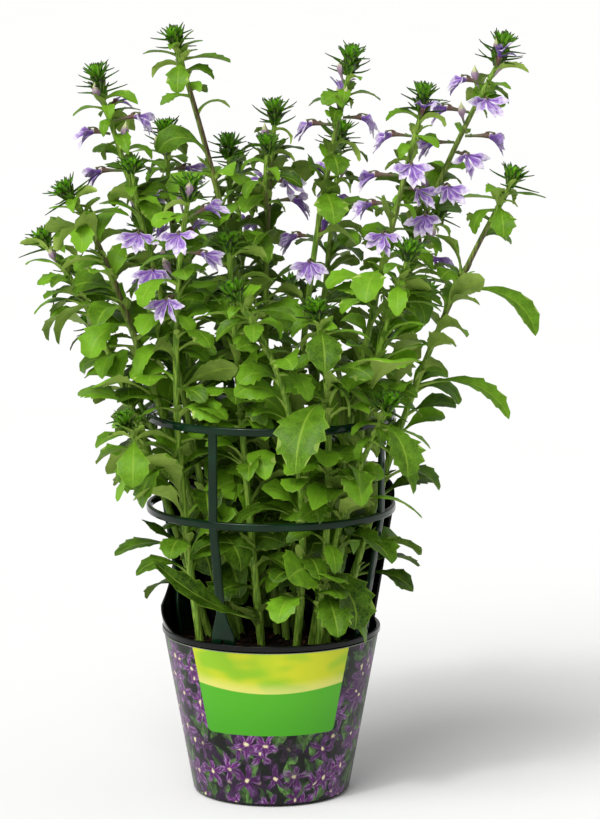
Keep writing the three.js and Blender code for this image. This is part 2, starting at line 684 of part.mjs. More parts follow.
// Points on a bloom's tube and petals, for its room.
function bloomPoints(frame, tube) {
  const throat = vector(tube, 0, -BLOOM.mouth / 3);
  const points = between(vector(ROOM.cell, 0, 0), throat);
  for (let place = 0; place < 5; place++) {
    const { along, side } = petal(place);
    for (const edge of [-0.4, -0.2, 0, 0.2, 0.4]) {
      const tip = offset(throat, along, BLOOM.petal, side, edge * BLOOM.width);
      points.push(...between(throat, tip));
    }
  }
  return points.map((p) => p.applyMatrix4(frame));
}

// A leaf that isn't clear of all that stands already is swung, lifted and shortened by these steps, in turn.
const RULED_STEPS = {
  swings: [0, 25, -25, 50, -50, 75, -75],
  lifts: [0, 20, -20, 35],
  sizes: [1, 0.84, 0.7],
};
const OWN_STEPS = {
  swings: [0, 8, -8, 16, -16, 26, -26],
  lifts: [0, 10, -10, 20, -20],
  sizes: [1, 0.9, 0.8],
};

function fitLeaf(stem, wish, { swings, lifts, sizes }) {
  for (const size of sizes)
    for (const lift of lifts)
      for (const swing of swings) {
        const length = wish.length * size;
        const width = length * wish.wide;
        const leaf = { ...wish, length, width, rise: wish.rise + lift, turn: wish.turn + swing };
        const far = bladePoints(leaf, ROOM.near, 1);
        const near = bladePoints(leaf, ROOM.root, ROOM.near);
        if (clear(far, stem.node) && clear(near, stem.node, stem.node + "_leaf")) return leaf;
      }
  return null;
}

// A leaf by rule: leaves climb the stem in a spiral, shorter towards the tip, and each varies by seeded
// draws, given as the least value and the spread above it.
const SPIRAL = { step: 137.5, stagger: 70, shrink: 0.42 };
const VARIES = { turn: [0, 20], rise: [34, 14], length: [0.9, 0.25], droop: [55, 60], roll: [-15, 30] };

function ruledLeaf(stem, place, random) {
  const draw = ([least, spread]) => least + spread * random();
  const share = lerp(...stem.reach, place / (stem.count - 1));
  const wish = {
    root: stem.curve.getPoint(share),
    turn: SPIRAL.step * place + SPIRAL.stagger * stem.index + draw(VARIES.turn),
    rise: draw(VARIES.rise),
    length: stem.longest * (1 - SPIRAL.shrink * share) * draw(VARIES.length),
    droop: draw(VARIES.droop),
    roll: draw(VARIES.roll),
    wide: LEAF.width,
    sweep: 0,
  };
  return fitLeaf(stem, wish, RULED_STEPS);
}

function ownLeaf(stem, curve, [height, turn, rise, length, droop, roll, wide = LEAF.width, sweep = 0]) {
  const root = curve.getPoint(shareAt(curve, height));
  const wish = { root, turn, rise, length, droop, roll, wide, sweep };
  return fitLeaf(stem, wish, OWN_STEPS);
}

// Everything grows in turn: the shoots, the blooms, the stems' own leaves, then the leaves by rule, place by
// place over all stems. A leaf that fits nowhere is left out.
function grow() {
  claimHolder();
  const stems = STEMS.map(layOut);
  for (const stem of stems) for (const shoot of stem.shoots) claim(shootPoints(shoot), stem.node);
  for (const stem of stems)
    stem.flowers = (stem.blooms ?? []).map((row, i) => {
      const flower = { frame: bloomFrame(stem, row), tube: row[3] };
      claim(bloomPoints(flower.frame, flower.tube), stem.name + "_bloom_" + i);
      return flower;
    });
  const keep = (stem, leaf) => {
    if (!leaf) return;
    claim(bladePoints(leaf, ROOM.near, 1), stem.node + "_leaf");
    stem.leaves.push(leaf);
  };
  for (const stem of stems)
    for (const { curve, own = [] } of stem.shoots)
      for (const row of own) keep(stem, ownLeaf(stem, curve, row));
  const random = stream(LEAF.seed);
  const most = Math.max(...stems.map((stem) => stem.count));
  for (let place = 0; place < most; place++)
    for (const stem of stems) if (place < stem.count) keep(stem, ruledLeaf(stem, place, random));
  return stems;
}

const stemSolid = (stem) => union([...stem.shoots.map(shootSolid), ...stem.leaves.map(leafSolid)]);

// The soil has a plain hole for each stem and each foot of the cage.
function soil(stems) {
  const holes = postTurns.map((turn) => post(turn, GAP));
  for (const { curve } of stems) {
    const radius = Math.SQRT2 * (STEM.base + GAP);
    const ends = [-0.01, 0.09].map((share) => curve.getPoint(share));
    holes.push(skin(ends.map((end) => stemRing(end, curve.getTangent(0), radius, null, 4))));
  }
  return ground().subtract(union(holes));
}

// Materials
const material = (color, roughness) => new THREE.MeshStandardMaterial({ color, roughness, metalness: 0 });
const MATERIALS = {
  pot: material(0x17181a, 0.4),
  wrap: material(0x5f7d2c, 0.35),
  soil: material(0x2a1d15, 0.95),
  cage: material(0x1d3a2c, 0.35),
  leaf: material(0x4d8a2a, 0.5),
  petal: material(0x8f6cc8, 0.6),
};

const part = new THREE.Group();

function addMesh(name, solid, look) {
  const mesh = new THREE.Mesh(geometryOf(solid), MATERIALS[look]);
  mesh.name = name;
  part.add(mesh);
  return mesh;
}

const stems = grow();
addMesh("pot", pot(), "pot");
addMesh("printed_wrap", wrap(), "wrap");
addMesh("soil", soil(stems), "soil");
addMesh("support_cage", cage(), "cage");
for (const stem of stems) {
  const forks = stems.filter((other) => other.node === stem.name);
  if (forks.length) addMesh("stem_" + stem.name, union(forks.map(stemSolid)), "leaf");
  stem.flowers.forEach(({ frame, tube }, i) => {
    const bloom = addMesh("bloom_" + stem.name + "_" + (i + 1), bloomSolid(tube), "petal");
    frame.decompose(bloom.position, bloom.quaternion, bloom.scale);
  });
}

export default part;
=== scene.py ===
"""Potted fan flower: the looks of a pot with a printed wrap, soil, a support cage, leafy stems and blooms.

Every piece is a surface that a formula gives as whole numpy arrays, in millimetres, and that stands for one
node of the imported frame. The plant grows by the same rule and the same seeded stream as its solids did, so
each leaf and bloom lies where its solid lies.
"""
import functools
import math
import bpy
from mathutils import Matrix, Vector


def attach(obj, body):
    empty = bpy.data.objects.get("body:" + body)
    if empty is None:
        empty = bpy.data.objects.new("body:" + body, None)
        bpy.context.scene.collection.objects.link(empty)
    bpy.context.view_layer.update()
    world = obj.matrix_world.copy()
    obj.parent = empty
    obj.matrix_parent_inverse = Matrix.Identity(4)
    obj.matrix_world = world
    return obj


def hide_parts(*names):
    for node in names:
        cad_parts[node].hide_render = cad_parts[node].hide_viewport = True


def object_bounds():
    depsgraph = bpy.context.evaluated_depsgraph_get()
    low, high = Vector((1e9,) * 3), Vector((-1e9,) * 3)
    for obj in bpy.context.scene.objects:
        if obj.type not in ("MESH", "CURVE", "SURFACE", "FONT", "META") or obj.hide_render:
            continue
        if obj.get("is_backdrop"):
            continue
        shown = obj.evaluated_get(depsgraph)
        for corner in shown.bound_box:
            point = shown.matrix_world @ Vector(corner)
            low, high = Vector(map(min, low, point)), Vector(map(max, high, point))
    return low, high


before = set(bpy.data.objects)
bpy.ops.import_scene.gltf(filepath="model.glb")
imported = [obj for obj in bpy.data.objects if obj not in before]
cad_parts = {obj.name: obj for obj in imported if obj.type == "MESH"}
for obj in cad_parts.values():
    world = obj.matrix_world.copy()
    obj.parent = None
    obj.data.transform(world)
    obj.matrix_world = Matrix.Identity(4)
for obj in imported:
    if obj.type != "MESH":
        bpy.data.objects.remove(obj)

from types import SimpleNamespace as Sizes

import bpy
import numpy as np

bl_info = {
    "name": "Potted fan flower",
    "version": (1, 0, 0),
    "blender": (4, 5, 0),
    "location": "View3D > Sidebar > Fan flower",
    "description": "Builds the pot, soil, support cage, leafy stems and blooms of a potted fan flower",
    "category": "Object",
}

# Units: lengths here are millimetres and angles degrees; meshes are written in metres.
MM = 0.001
CAD_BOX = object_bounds()

# The construction that the looks follow, with +Z up and the label at the front, -Y
GAP = 0.3
SEAT = 0.3
POT = Sizes(foot=42, rim=60, height=92.4, wall=1.4, floor=2)
LIP = Sizes(width=1.8, height=3.4, slope=0.6)
BACK_WALL = Sizes(start=15, end=147, top=168, slope=0.17, inset=0.6, corner=12)
SHOULDER = Sizes(reach=60, high=34, low=9, lift=0.3, overlap=2)
DRAIN = Sizes(count=4, radius=3.5, ring=27)
WRAP = Sizes(thickness=0.6, bottom=1.5, top=88.4)
SOIL = Sizes(top=84, bump=3)
CAGE = Sizes(middle=158.4, top=209.3, radius=66.8, high=4.4, thick=2.8)
POST = Sizes(width=5, thick=2.4, first_turn=-117, lean=158.4)
FOOT = Sizes(bottom=72, radius=51.4, width=14, top=93, shoulder=112)
FOOT_WINDOW = Sizes(width=2.6, sill=88, lintel=94)
SQUARE = np.array([[-1, -1], [1, -1], [1, 1], [-1, 1]])
STEM = Sizes(root=70, base=2.5, tip=1.5, shoot_base=1.6, shoot_tip=1.2, stations=7, sides=6)
LEAF = Sizes(width=0.46, fold=0.2, seed=11, stations=16)
ROSETTE = Sizes(spacing=3.2, first=0.6, crown=0.8, neck=1.6, slim=0.7, upright=0.8)
NEEDLE = Sizes(length=12, top_length=0.55, shoot_length=0.85, low_rise=6, high_rise=60)
BLOOM = Sizes(petal=14, width=5.4, spread=36, lean=0.4, mouth=1.8)
ROOM = Sizes(cell=2.4, sample=1.2, root=0.1, near=0.35, shoot=300)
SPIRAL = Sizes(step=137.5, stagger=70, shrink=0.42)
VARIES = Sizes(turn=(0, 20), rise=(34, 14), length=(0.9, 0.25), droop=(55, 60), roll=(-15, 30))
RULED_STEPS = Sizes(swings=(0, 25, -25, 50, -50, 75, -75), lifts=(0, 20, -20, 35), sizes=(1, 0.84, 0.7))
OWN_STEPS = Sizes(swings=(0, 8, -8, 16, -16, 26, -26), lifts=(0, 10, -10, 20, -20), sizes=(1, 0.9, 0.8))

# What only the looks have: the seeds of their draws, and the columns and rings of the soil's top
SEED = Sizes(soil=21, stems=100, blooms=1000, bloom_step=20)
SOIL_SIDES = 120
SOIL_RINGS = 40

# Stems: where each leaves the soil [x, y], the point it passes half way, where its rosette starts, and the
# rosette's tiers. By rule it has a count of leaves within a reach, given in shares of its length, and
# longest is their usual length at its foot. A stem that joins another forks from its foot. Leaves of its own
# are [height, turn, rise, length, droop, roll, width as a share of length, sweep of the turn along the
# blade], and blooms [height, turn, tilt, length of tube]. Buds are [height, turn, rise], and dark is how far
# the upper stem turns brown-purple.
STEMS = [
    dict(
        name="tall_left", base=[9, -5], via=[-11, -5, 246], tip=[-50, -10, 408], tiers=4,
        count=8, reach=[0.14, 0.7], longest=50,
        own=[
            [341, 182, 4, 56, 85, -20, 0.28], [400, -95, 0, 26, 95, 0, 0.5], [402, -10, 12, 28, 35, 10],
            [404, 185, 20, 20, 40, 0], [407, 25, 30, 16, 30, 0],
        ],
        dark=1.0,
    ),
    dict(
        name="upper_left", base=[-22, -13], via=[-52, -16, 245], tip=[-90, -20, 384], tiers=6,
        count=8, reach=[0.16, 0.84], longest=42,
        own=[[376, 200, 20, 20, 70, 0], [374, 20, 20, 20, 40, 0]],
        blooms=[
            [364, 190, 15, 9], [370, -20, 15, 13], [344, 188, 5, 11], [311, -100, 5, 9], [291, -90, 5, 9],
        ],
        shoots=[dict(start=0.8, via=[-71, -26, 326], tip=[-73, -33, 343], tiers=3)],
        buds=[[357, -60, 30]],
    ),
    dict(
        name="dark_left", base=[-14, 12], via=[-44, 17, 230], tip=[-57, 20, 354], tiers=5,
        count=8, reach=[0.18, 0.86], longest=42,
        own=[[346, -60, 15, 22, 60, 0], [349, 170, 20, 20, 40, 0]],
        blooms=[[341, -25, 15, 9], [319, -130, 5, 9]],
        buds=[[347, 175, 40]],
        dark=1.0,
    ),
    dict(
        name="outer_left", base=[-15, 0], via=[-75, -24, 260], tip=[-105, -35, 329], tiers=4,
        count=7, reach=[0.16, 0.6], longest=44,
        own=[
            [270, 180, 20, 48, 115, 10], [318, -95, -5, 26, 85, 0, 0.5], [321, 5, 15, 25, 40, 10],
            [324, 190, 15, 17, 30, 0], [296, -140, 40, 18, 40, 0],
        ],
        dark=0.9,
    ),
    dict(
        name="far_left", base=[-30, 4], via=[-80, 3, 222], tip=[-121, 5, 299], tiers=4,
        count=8, reach=[0.18, 0.88], longest=42,
        own=[[268, 190, 30, 32, 90, 0], [284, -120, 10, 18, 60, 0]],
        shoots=[dict(start=0.66, via=[-98, 16, 262], tip=[-107, 22, 284], tiers=3)],
        buds=[[288, 185, 35], [279, -20, 30]],
    ),
    dict(
        name="middle_left", base=[-5, 16], via=[-18, 19, 225], tip=[-23, 24, 346], tiers=5,
        count=9, reach=[0.18, 0.9], longest=46,
        own=[[338, -60, 10, 24, 70, 0], [283, -150, 0, 32, 60, 0]],
        dark=0.7,
    ),
    dict(
        name="centre", base=[4, 6], via=[-3, 5, 240], tip=[2, 5, 366], tiers=5,
        count=9, reach=[0.18, 0.9], longest=50,
        own=[[350, 15, 25, 24, 50, 0]], blooms=[[336, -45, 10, 9], [325, 5, 10, 11]],
        shoots=[dict(start=0.8, via=[-3, -12, 330], tip=[-2, -21, 352], tiers=4)],
        buds=[[352, 160, 50]],
        dark=0.8,
    ),
    dict(
        name="front_left", base=[-36, -22], via=[-50, -34, 215], tip=[-43, -53, 330], tiers=5,
        count=9, reach=[0.14, 0.84], longest=42,
        own=[[300, -170, 10, 24, 60, 0], [136, 175, 45, 32, 20, 0]],
        blooms=[[313, -100, 10, 10], [303, -25, 5, 10], [322, -10, 35, 10], [281, -120, -10, 8]],
        shoots=[dict(
            start=0.36, via=[-60, -40, 186], tip=[-75, -50, 208], tiers=4,
            own=[[196, 185, 15, 28, 70, 0, 0.7], [203, -90, -5, 36, 90, 0, 0.5], [192, -160, -30, 30, 50, 0]],
        )],
    ),
    dict(
        name="tall_centre", base=[14, 6], via=[17, 2, 240], tip=[42, 0, 393], tiers=6,
        count=8, reach=[0.18, 0.84], longest=48,
        own=[
            [350, -80, 10, 26, 75, 0, 0.6], [378, 190, 30, 20, 80, 0], [381, -5, 30, 22, 80, 0],
            [330, -70, 0, 32, 70, 0, 0.6],
        ],
        blooms=[[366, 187, 10, 12], [371, -8, 5, 10], [306, 195, 10, 9], [293, -100, 5, 8]],
        buds=[[387, 185, 55]],
        dark=0.35,
    ),
    dict(
        name="upper_right", base=[20, -15], via=[48, -23, 235], tip=[80, -25, 374], tiers=6,
        count=8, reach=[0.16, 0.8], longest=46,
        own=[[362, -50, 10, 20, 60, 0], [290, -100, 10, 36, 80, 0, 0.55]],
        blooms=[
            [362, 190, 10, 11], [348, -85, 5, 10], [341, 178, 5, 14], [335, -45, 5, 9], [326, 185, 5, 12],
            [311, -110, 5, 9],
        ],
        buds=[[368, 20, 45]],
        dark=0.4,
    ),
    dict(
        name="tall_right", base=[28, -3], via=[58, -12, 245], tip=[121, -5, 398], tiers=7,
        count=8, reach=[0.16, 0.74], longest=46,
        own=[[330, -60, -10, 26, 70, 0]],
        blooms=[
            [388, 190, 20, 10], [380, -75, 10, 10], [373, 178, 15, 12], [362, -12, 5, 13], [357, 195, 5, 11],
            [353, -60, 0, 10], [336, -70, 0, 9], [321, -100, -5, 8],
        ],
        buds=[[391, -5, 35], [384, 175, 50]],
        dark=0.5,
    ),
    dict(
        name="outer_right", base=[32, -8], via=[76, -13, 220], tip=[128, -15, 334], tiers=4,
        count=5, reach=[0.16, 0.5], longest=44,
        own=[
            [278, -5, 12, 56, 95, 20, 0.26], [280, 150, 20, 20, 30, 0], [284, 30, 55, 14, 0, 0],
            [324, -85, -5, 26, 80, 0, 0.55], [328, 172, 5, 27, 15, 0], [331, -15, 5, 22, 25, 0],
            [226, -6, 20, 60, 90, 15, 0.24],
        ],
        dark=0.9,
    ),
    dict(
        name="low_right", base=[28, -26], via=[49, -35, 206], tip=[72, -50, 298], tiers=4,
        count=8, reach=[0.14, 0.84], longest=46,
        own=[
            [288, 0, 20, 22, 50, 0], [285, -120, 0, 24, 70, 0], [242, -20, 35, 32, 30, 0],
            [222, -55, 35, 58, 60, 0, 0.6],
        ],
    ),
    dict(
        name="front_bright", base=[12, -26], via=[14, -50, 196], tip=[-17, -68, 279], tiers=4,
        count=5, reach=[0.14, 0.5], longest=44,
        own=[
            [269, 165, 20, 26, 40, 0], [272, -5, 20, 30, 40, 0], [266, -90, 10, 24, 60, 0],
            [275, 75, 40, 26, 40, 0],
        ],
    ),
    dict(
        name="front_centre", base=[24, -36], via=[31, -50, 190], tip=[25, -62, 268], tiers=4,
        count=5, reach=[0.14, 0.8], longest=44,
        own=[
            [262, -85, 10, 38, 95, 0, 0.52], [260, 5, 20, 28, 60, 0], [222, -110, 15, 66, 105, 0, 0.42],
            [118, -75, 0, 38, 70, 0, 0.55],
        ],
    ),
    dict(
        name="front_right", base=[20, -22], via=[38, -45, 158], tip=[61, -62, 219], tiers=4,
        count=3, reach=[0.2, 0.6], longest=40,
        own=[
            [213, -60, 0, 42, 95, 0, 0.5], [210, -5, 5, 32, 60, 0], [204, -25, -25, 38, 55, 0],
            [168, -20, 25, 46, 75, -20, 0.42],
        ],
    ),
    dict(
        name="front_inner", base=[-4, -20], via=[-14, -32, 190], tip=[-22, -38, 301], tiers=4,
        count=8, reach=[0.16, 0.9], longest=46,
        own=[[101, -95, 8, 108, -40, 0, 0.16, -90], [94, -140, 50, 26, 20, 0, 0.6]],
    ),
    dict(
        name="back_left", base=[-20, 22], via=[-40, 38, 195], tip=[-70, 60, 298], tiers=5,
        count=8, reach=[0.2, 0.88], longest=46, blooms=[[275, 120, 10, 8]],
    ),
    dict(
        name="back_middle", base=[-2, 30], via=[-12, 44, 210], tip=[-20, 80, 333], tiers=5,
        count=9, reach=[0.2, 0.88], longest=46, blooms=[[308, 60, 10, 8]],
        buds=[[318, 100, 40]],
    ),
    dict(
        name="back_tall", base=[10, 18], via=[24, 42, 215], tip=[38, 70, 348], tiers=6,
        count=9, reach=[0.2, 0.86], longest=46, blooms=[[320, 90, 15, 8]],
        dark=0.4,
    ),
    dict(
        name="back_right", base=[28, 18], via=[48, 30, 205], tip=[92, 48, 310], tiers=5,
        count=8, reach=[0.2, 0.88], longest=46, blooms=[[290, 30, 10, 8]],
        buds=[[300, 60, 40]],
    ),
    dict(
        name="low_left", joins="back_left", base=[-20, 22], via=[-52, 37, 165], tip=[-98, 45, 248],
        tiers=4, count=7, reach=[0.3, 0.88], longest=42,
    ),
    dict(
        name="low_back_right", joins="back_right", base=[28, 18], via=[40, 36, 200], tip=[84, 76, 262],
        tiers=4, count=7, reach=[0.24, 0.88], longest=44,
    ),
    dict(
        name="low_back", joins="back_middle", base=[-2, 30], via=[4, 50, 195], tip=[10, 102, 262],
        tiers=4, count=7, reach=[0.24, 0.88], longest=44,
    ),
]


# Directions and curves
def direction(turn, rise):
    """Unit vectors of headings and rises above the horizon, in degrees."""
    turn, rise = np.broadcast_arrays(np.radians(turn), np.radians(rise))
    return np.stack([np.cos(rise) * np.cos(turn), np.cos(rise) * np.sin(turn), np.sin(rise)], -1)


def unit(vectors):
    return vectors / np.linalg.norm(vectors, axis=-1, keepdims=True)


def mix(low, high, share):
    return low + (high - low) * share


def polar(radius, turn, z):
    """Points at a radius, a turn in degrees and a height."""
    radius, turn, z = np.broadcast_arrays(radius, np.radians(turn), z)
    return np.stack([radius * np.cos(turn), radius * np.sin(turn), z], -1)


class Bend:
    """A quadratic curve through three points: the middle one is passed half way."""

    STEP = 0.0001
    HALVINGS = 30

    def __init__(self, start, via, end):
        self.start, self.end = np.array(start, float), np.array(end, float)
        self.middle = 2 * np.array(via, float) - (self.start + self.end) / 2

    def at(self, share):
        share = np.asarray(share, float)[..., None]
        own = 1 - share
        return own * own * self.start + 2 * own * share * self.middle + share * share * self.end

    def along(self, share):
        share = np.asarray(share, float)
        return unit(self.at(np.minimum(share + self.STEP, 1)) - self.at(np.maximum(share - self.STEP, 0)))

    def share_at(self, height):
        """The share at which a climbing curve reaches a height, found by halving."""
        low, high = 0.0, 1.0
        for _ in range(self.HALVINGS):
            middle = (low + high) / 2
            if self.at(middle)[2] < height:
                low = middle
            else:
                high = middle
        return low

    def on_run(self, share):
        """A point on the straight run between two of a stem's stations."""
        runs = STEM.stations - 1
        low = min(runs - 1, math.floor(share * runs))
        return mix(self.at(low / runs), self.at((low + 1) / runs), share * runs - low)


def stream(seed):
    """A repeatable stream of numbers from 0 to 1."""
    state = seed
    while True:
        state = (state * 1664525 + 1013904223) % 4294967296
        yield state / 4294967296


def between(a, b):
    """Points on the line between two points, no further apart than a sample."""
    steps = max(1, math.ceil(np.linalg.norm(b - a) / ROOM.sample))
    return a + (b - a) * np.linspace(0, 1, steps + 1)[:, None]


# The pot's outline
LIP_FOOT = POT.height - LIP.height
SHOULDER_END = BACK_WALL.end + SHOULDER.reach


def pot_radius(z):
    return mix(POT.foot, POT.rim - LIP.width, np.asarray(z, float) / LIP_FOOT)


def inside_radius(z):
    return pot_radius(z) - POT.wall


def back_radius(z):
    return POT.rim - BACK_WALL.inset + BACK_WALL.slope * (z - POT.height)


def corner_drop(degrees):
    """How far a round corner drops an edge, this far in degrees from the edge's end."""
    share = np.clip(np.radians(degrees) * POT.rim / BACK_WALL.corner, 0, 1)
    return BACK_WALL.corner * (1 - np.sqrt(1 - (1 - share) ** 2))


def back_top(turn):
    return BACK_WALL.top - corner_drop(turn - BACK_WALL.start) - corner_drop(BACK_WALL.end - turn)


def shoulder_top(turn):
    """The shoulder falls from the back wall's left end down to the rim."""
    left = np.maximum(0, 1 - (turn - BACK_WALL.end) / SHOULDER.reach)
    rise = SHOULDER.low * np.minimum(1, 2 * left) + (SHOULDER.high - SHOULDER.low) * left**6
    return POT.height + SHOULDER.lift + rise


POST_TURNS = POST.first_turn + 90 * np.arange(4)


def post_radius(z):
    share = (np.minimum(z, POST.lean) - FOOT.bottom) / (POST.lean - FOOT.bottom)
    return mix(FOOT.radius, CAGE.radius, share)


# Room: a grid of cells, each held by the piece placed there last
class Room:
    """Cells of space and their holders. A blade is clear when no cell that it enters, and none next to one,
    is held by another piece."""

    SPAN = 200
    LOWEST = np.array([100, 100, 8])
    AROUND = np.stack(np.meshgrid(*[[-1, 0, 1]] * 3, indexing="ij"), -1).reshape(-1, 3)

    def __init__(self):
        self.held = np.zeros((self.SPAN,) * 3, np.int16)
        self.numbers = {}

    def number(self, owner):
        return self.numbers.setdefault(owner, len(self.numbers) + 1)

    def cells(self, points):
        return np.floor(points / ROOM.cell).astype(int) + self.LOWEST

    def claim(self, points, owner):
        self.held[tuple(self.cells(points).T)] = self.number(owner)

    def holders(self, points):
        near = self.cells(points)[:, None, :] + self.AROUND
        return self.held[near[..., 0], near[..., 1], near[..., 2]]

    def clear(self, points, *allowed):
        return bool(np.isin(self.holders(points), [0, *map(self.number, allowed)]).all())

    def misses(self, points, *avoided):
        return not np.isin(self.holders(points), [*map(self.number, avoided)]).any()


# The name by which the pot, its soil and the cage hold their room
HOLDER = "holder"


def holder_points():
    """Points on the pot, its soil and the cage, for their room."""
    points = []

    def wall_at(turn, z):
        return polar(back_radius(z) - POT.wall / 2, turn, z)

    for turn in range(360):
        wall_top = POT.height
        if BACK_WALL.start <= turn <= SHOULDER_END:
            wall_top = back_top(turn) if turn <= BACK_WALL.end else shoulder_top(turn)
        points.append(between(wall_at(turn, LIP_FOOT), wall_at(turn, wall_top)))
        points.append(between(np.array([0, 0, SOIL.top]), polar(POT.rim, turn, SOIL.top)))
        points.append(polar(CAGE.radius, turn, np.array([CAGE.middle, CAGE.top])))
    half_post = math.degrees(POST.width / 2 / CAGE.radius)
    levels = (FOOT.bottom, POST.lean, CAGE.top)
    for turn in POST_TURNS:
        for side in (-half_post, half_post):
            foot, lean, top = (polar(post_radius(z), turn + side, z) for z in levels)
            points += [between(foot, lean), between(lean, top)]
    return np.concatenate(points)


# Leaves: each is a row of values, and its midrib leaves its root with a turn and a rise and droops
def midrib(leaf, shares):
    """Stations on a leaf's midrib: points, side directions and face directions. The rise falls by the droop
    times the share to the power 1.3, the turn grows by the sweep, and the blade rolls more and more."""
    middles = (shares[1:] + shares[:-1]) / 2
    runs = direction(leaf.turn + leaf.sweep * middles, leaf.rise - leaf.droop * middles**1.3)
    steps = runs * (leaf.length * np.diff(shares))[:, None]
    points = leaf.root + np.concatenate([np.zeros((1, 3)), np.cumsum(steps, 0)])
    turn = leaf.turn + leaf.sweep * shares
    level = direction(turn + 90, 0 * shares)
    up = direction(turn, leaf.rise - leaf.droop * shares**1.3 + 90)
    roll = np.radians(leaf.roll * shares)[:, None]
    return points, level * np.cos(roll) + up * np.sin(roll), up * np.cos(roll) - level * np.sin(roll)


STATIONS = np.arange(LEAF.stations + 1) / LEAF.stations


def blade_points(leaf, stations, start, end):
    """Samples over a blade between two shares of its length: it widens from its narrow foot to its full
    width and narrows again to its tip."""
    steps = math.ceil((end - start) * leaf.length / ROOM.sample)
    share = mix(start, end, np.arange(steps + 1) / steps)
    place = share * LEAF.stations
    low = np.minimum(LEAF.stations - 1, place.astype(int))
    over = (place - low)[:, None]
    point, side, face = (mix(values[low], values[low + 1], over) for values in stations)
    wide = np.clip(4 * (share - 0.24), 0.15, 1) * np.clip(2.6 * (1 - share) + 0.1, 0.1, 1)
    half = wide * leaf.width / 2
    across = np.ceil(half / ROOM.sample).astype(int)
    counts = 2 * across + 1
    row = np.repeat(np.arange(steps + 1), counts)
    column = np.arange(counts.sum()) - np.repeat(np.cumsum(counts) - counts + across, counts)
    reach = (half[row] * column / across[row])[:, None]
    return point[row] + reach * unit(side)[row] + np.abs(reach) * LEAF.fold * unit(face)[row]


def fit_leaf(room, stem, wish, steps):
    """A leaf that isn't clear of all that stands already is swung, lifted and shortened, in turn."""
    for size in steps.sizes:
        for lift in steps.lifts:
            for swing in steps.swings:
                length = wish.length * size
                leaf = Sizes(**{**vars(wish), "length": length, "width": length * wish.wide})
                leaf.rise, leaf.turn = wish.rise + lift, wish.turn + swing
                stations = midrib(leaf, STATIONS)
                far = blade_points(leaf, stations, ROOM.near, 1)
                if not room.clear(far, stem.node):
                    continue
                near = blade_points(leaf, stations, ROOM.root, ROOM.near)
                if room.clear(near, stem.node, stem.node + "_leaf"):
                    room.claim(far, stem.node + "_leaf")
                    return leaf
    return None


def leaf_at(share, curve, turn, rise, length, droop, roll, wide=LEAF.width, sweep=0):
    return Sizes(
        root=curve.at(share), share=share, turn=turn, rise=rise, length=length, droop=droop, roll=roll,
        wide=wide, width=length * wide, sweep=sweep,
    )


def ruled_leaf(stem, place, random):
    """Leaves climb the stem in a spiral, shorter towards the tip, and each varies by seeded draws."""

    def draw(least, spread):
        return least + spread * next(random)

    share = mix(*stem.reach, place / (stem.count - 1))
    turn = SPIRAL.step * place + SPIRAL.stagger * stem.index + draw(*VARIES.turn)
    rise = draw(*VARIES.rise)
    length = stem.longest * (1 - SPIRAL.shrink * share) * draw(*VARIES.length)
    return leaf_at(share, stem.curve, turn, rise, length, draw(*VARIES.droop), draw(*VARIES.roll))


# Shoots and blooms
def rosette_axis(curve):
    """A rosette's axis leaves the tip of its stem and turns upright."""
    return unit(curve.along(1) + [0, 0, ROSETTE.upright])


def across_axes(along):
    """Two directions across an axis: to its right and ahead."""
    right = unit(np.cross([0, 1, 0], along))
    return right, np.cross(along, right)


def needle_reach(tier, tiers, length):
    """Rank, rise and reach of a tier's needles: shorter and steeper towards the top."""
    rank = tier / max(1, tiers - 1)
    rise = mix(NEEDLE.low_rise, NEEDLE.high_rise, rank**1.4)
    return rank, rise, length * mix(1, NEEDLE.top_length, rank**2)


def shoot_points(shoot):
    """Points on a shoot's stem and on its solid's needles, for its room."""
    points = [shoot.curve.at(np.linspace(0, 1, ROOM.shoot + 1))]
    along = rosette_axis(shoot.curve)
    right, ahead = across_axes(along)
    for tier in range(shoot.tiers):
        centre = shoot.curve.at(1) + along * (tier + ROSETTE.first) * ROSETTE.spacing
        _, rise, reach = needle_reach(tier, shoot.tiers, shoot.needle)
        for i in range(tier % 2, STEM.sides, 2):
            turn = 2 * math.pi * i / STEM.sides
            out = right * math.cos(turn) + ahead * math.sin(turn)
            tip = out * reach * math.cos(math.radians(rise)) + along * reach * math.sin(math.radians(rise))
            points.append(between(centre, centre + tip))
    return np.concatenate(points)


def bloom_frame(stem, height, turn, tilt):
    """A bloom's place and its three directions: out along its tube, to its side and up across both."""
    share = stem.curve.share_at(height)
    out = direction(turn, tilt)
    along = stem.curve.along(share)
    away = unit(out - along * (out @ along))
    root = stem.curve.on_run(share) + away * (mix(STEM.base, STEM.tip, share) + SEAT)
    side = direction(turn + 90, 0)
    return Sizes(root=root, axes=np.stack([out, side, np.cross(out, side)]))


def petal_axes(place):
    """A petal's direction and side direction in the bloom's own frame."""
    swing = math.radians((place - 2) * BLOOM.spread)
    along = unit(np.array([BLOOM.lean, math.sin(swing), -math.cos(swing)]))
    return along, np.array([0, math.cos(swing), math.sin(swing)])


def throat_of(flower):
    """The end of a bloom's tube in the bloom's own frame."""
    return np.array([flower.tube, 0, -BLOOM.mouth / 3])


def bloom_points(flower):
    """Points on a bloom's tube and petals, for its room."""
    throat = throat_of(flower)
    points = [between(np.array([ROOM.cell, 0, 0]), throat)]
    for place in range(5):
        along, side = petal_axes(place)
        for edge in (-0.4, -0.2, 0, 0.2, 0.4):
            points.append(between(throat, throat + along * BLOOM.petal + side * edge * BLOOM.width))
    return flower.root + np.concatenate(points) @ flower.axes


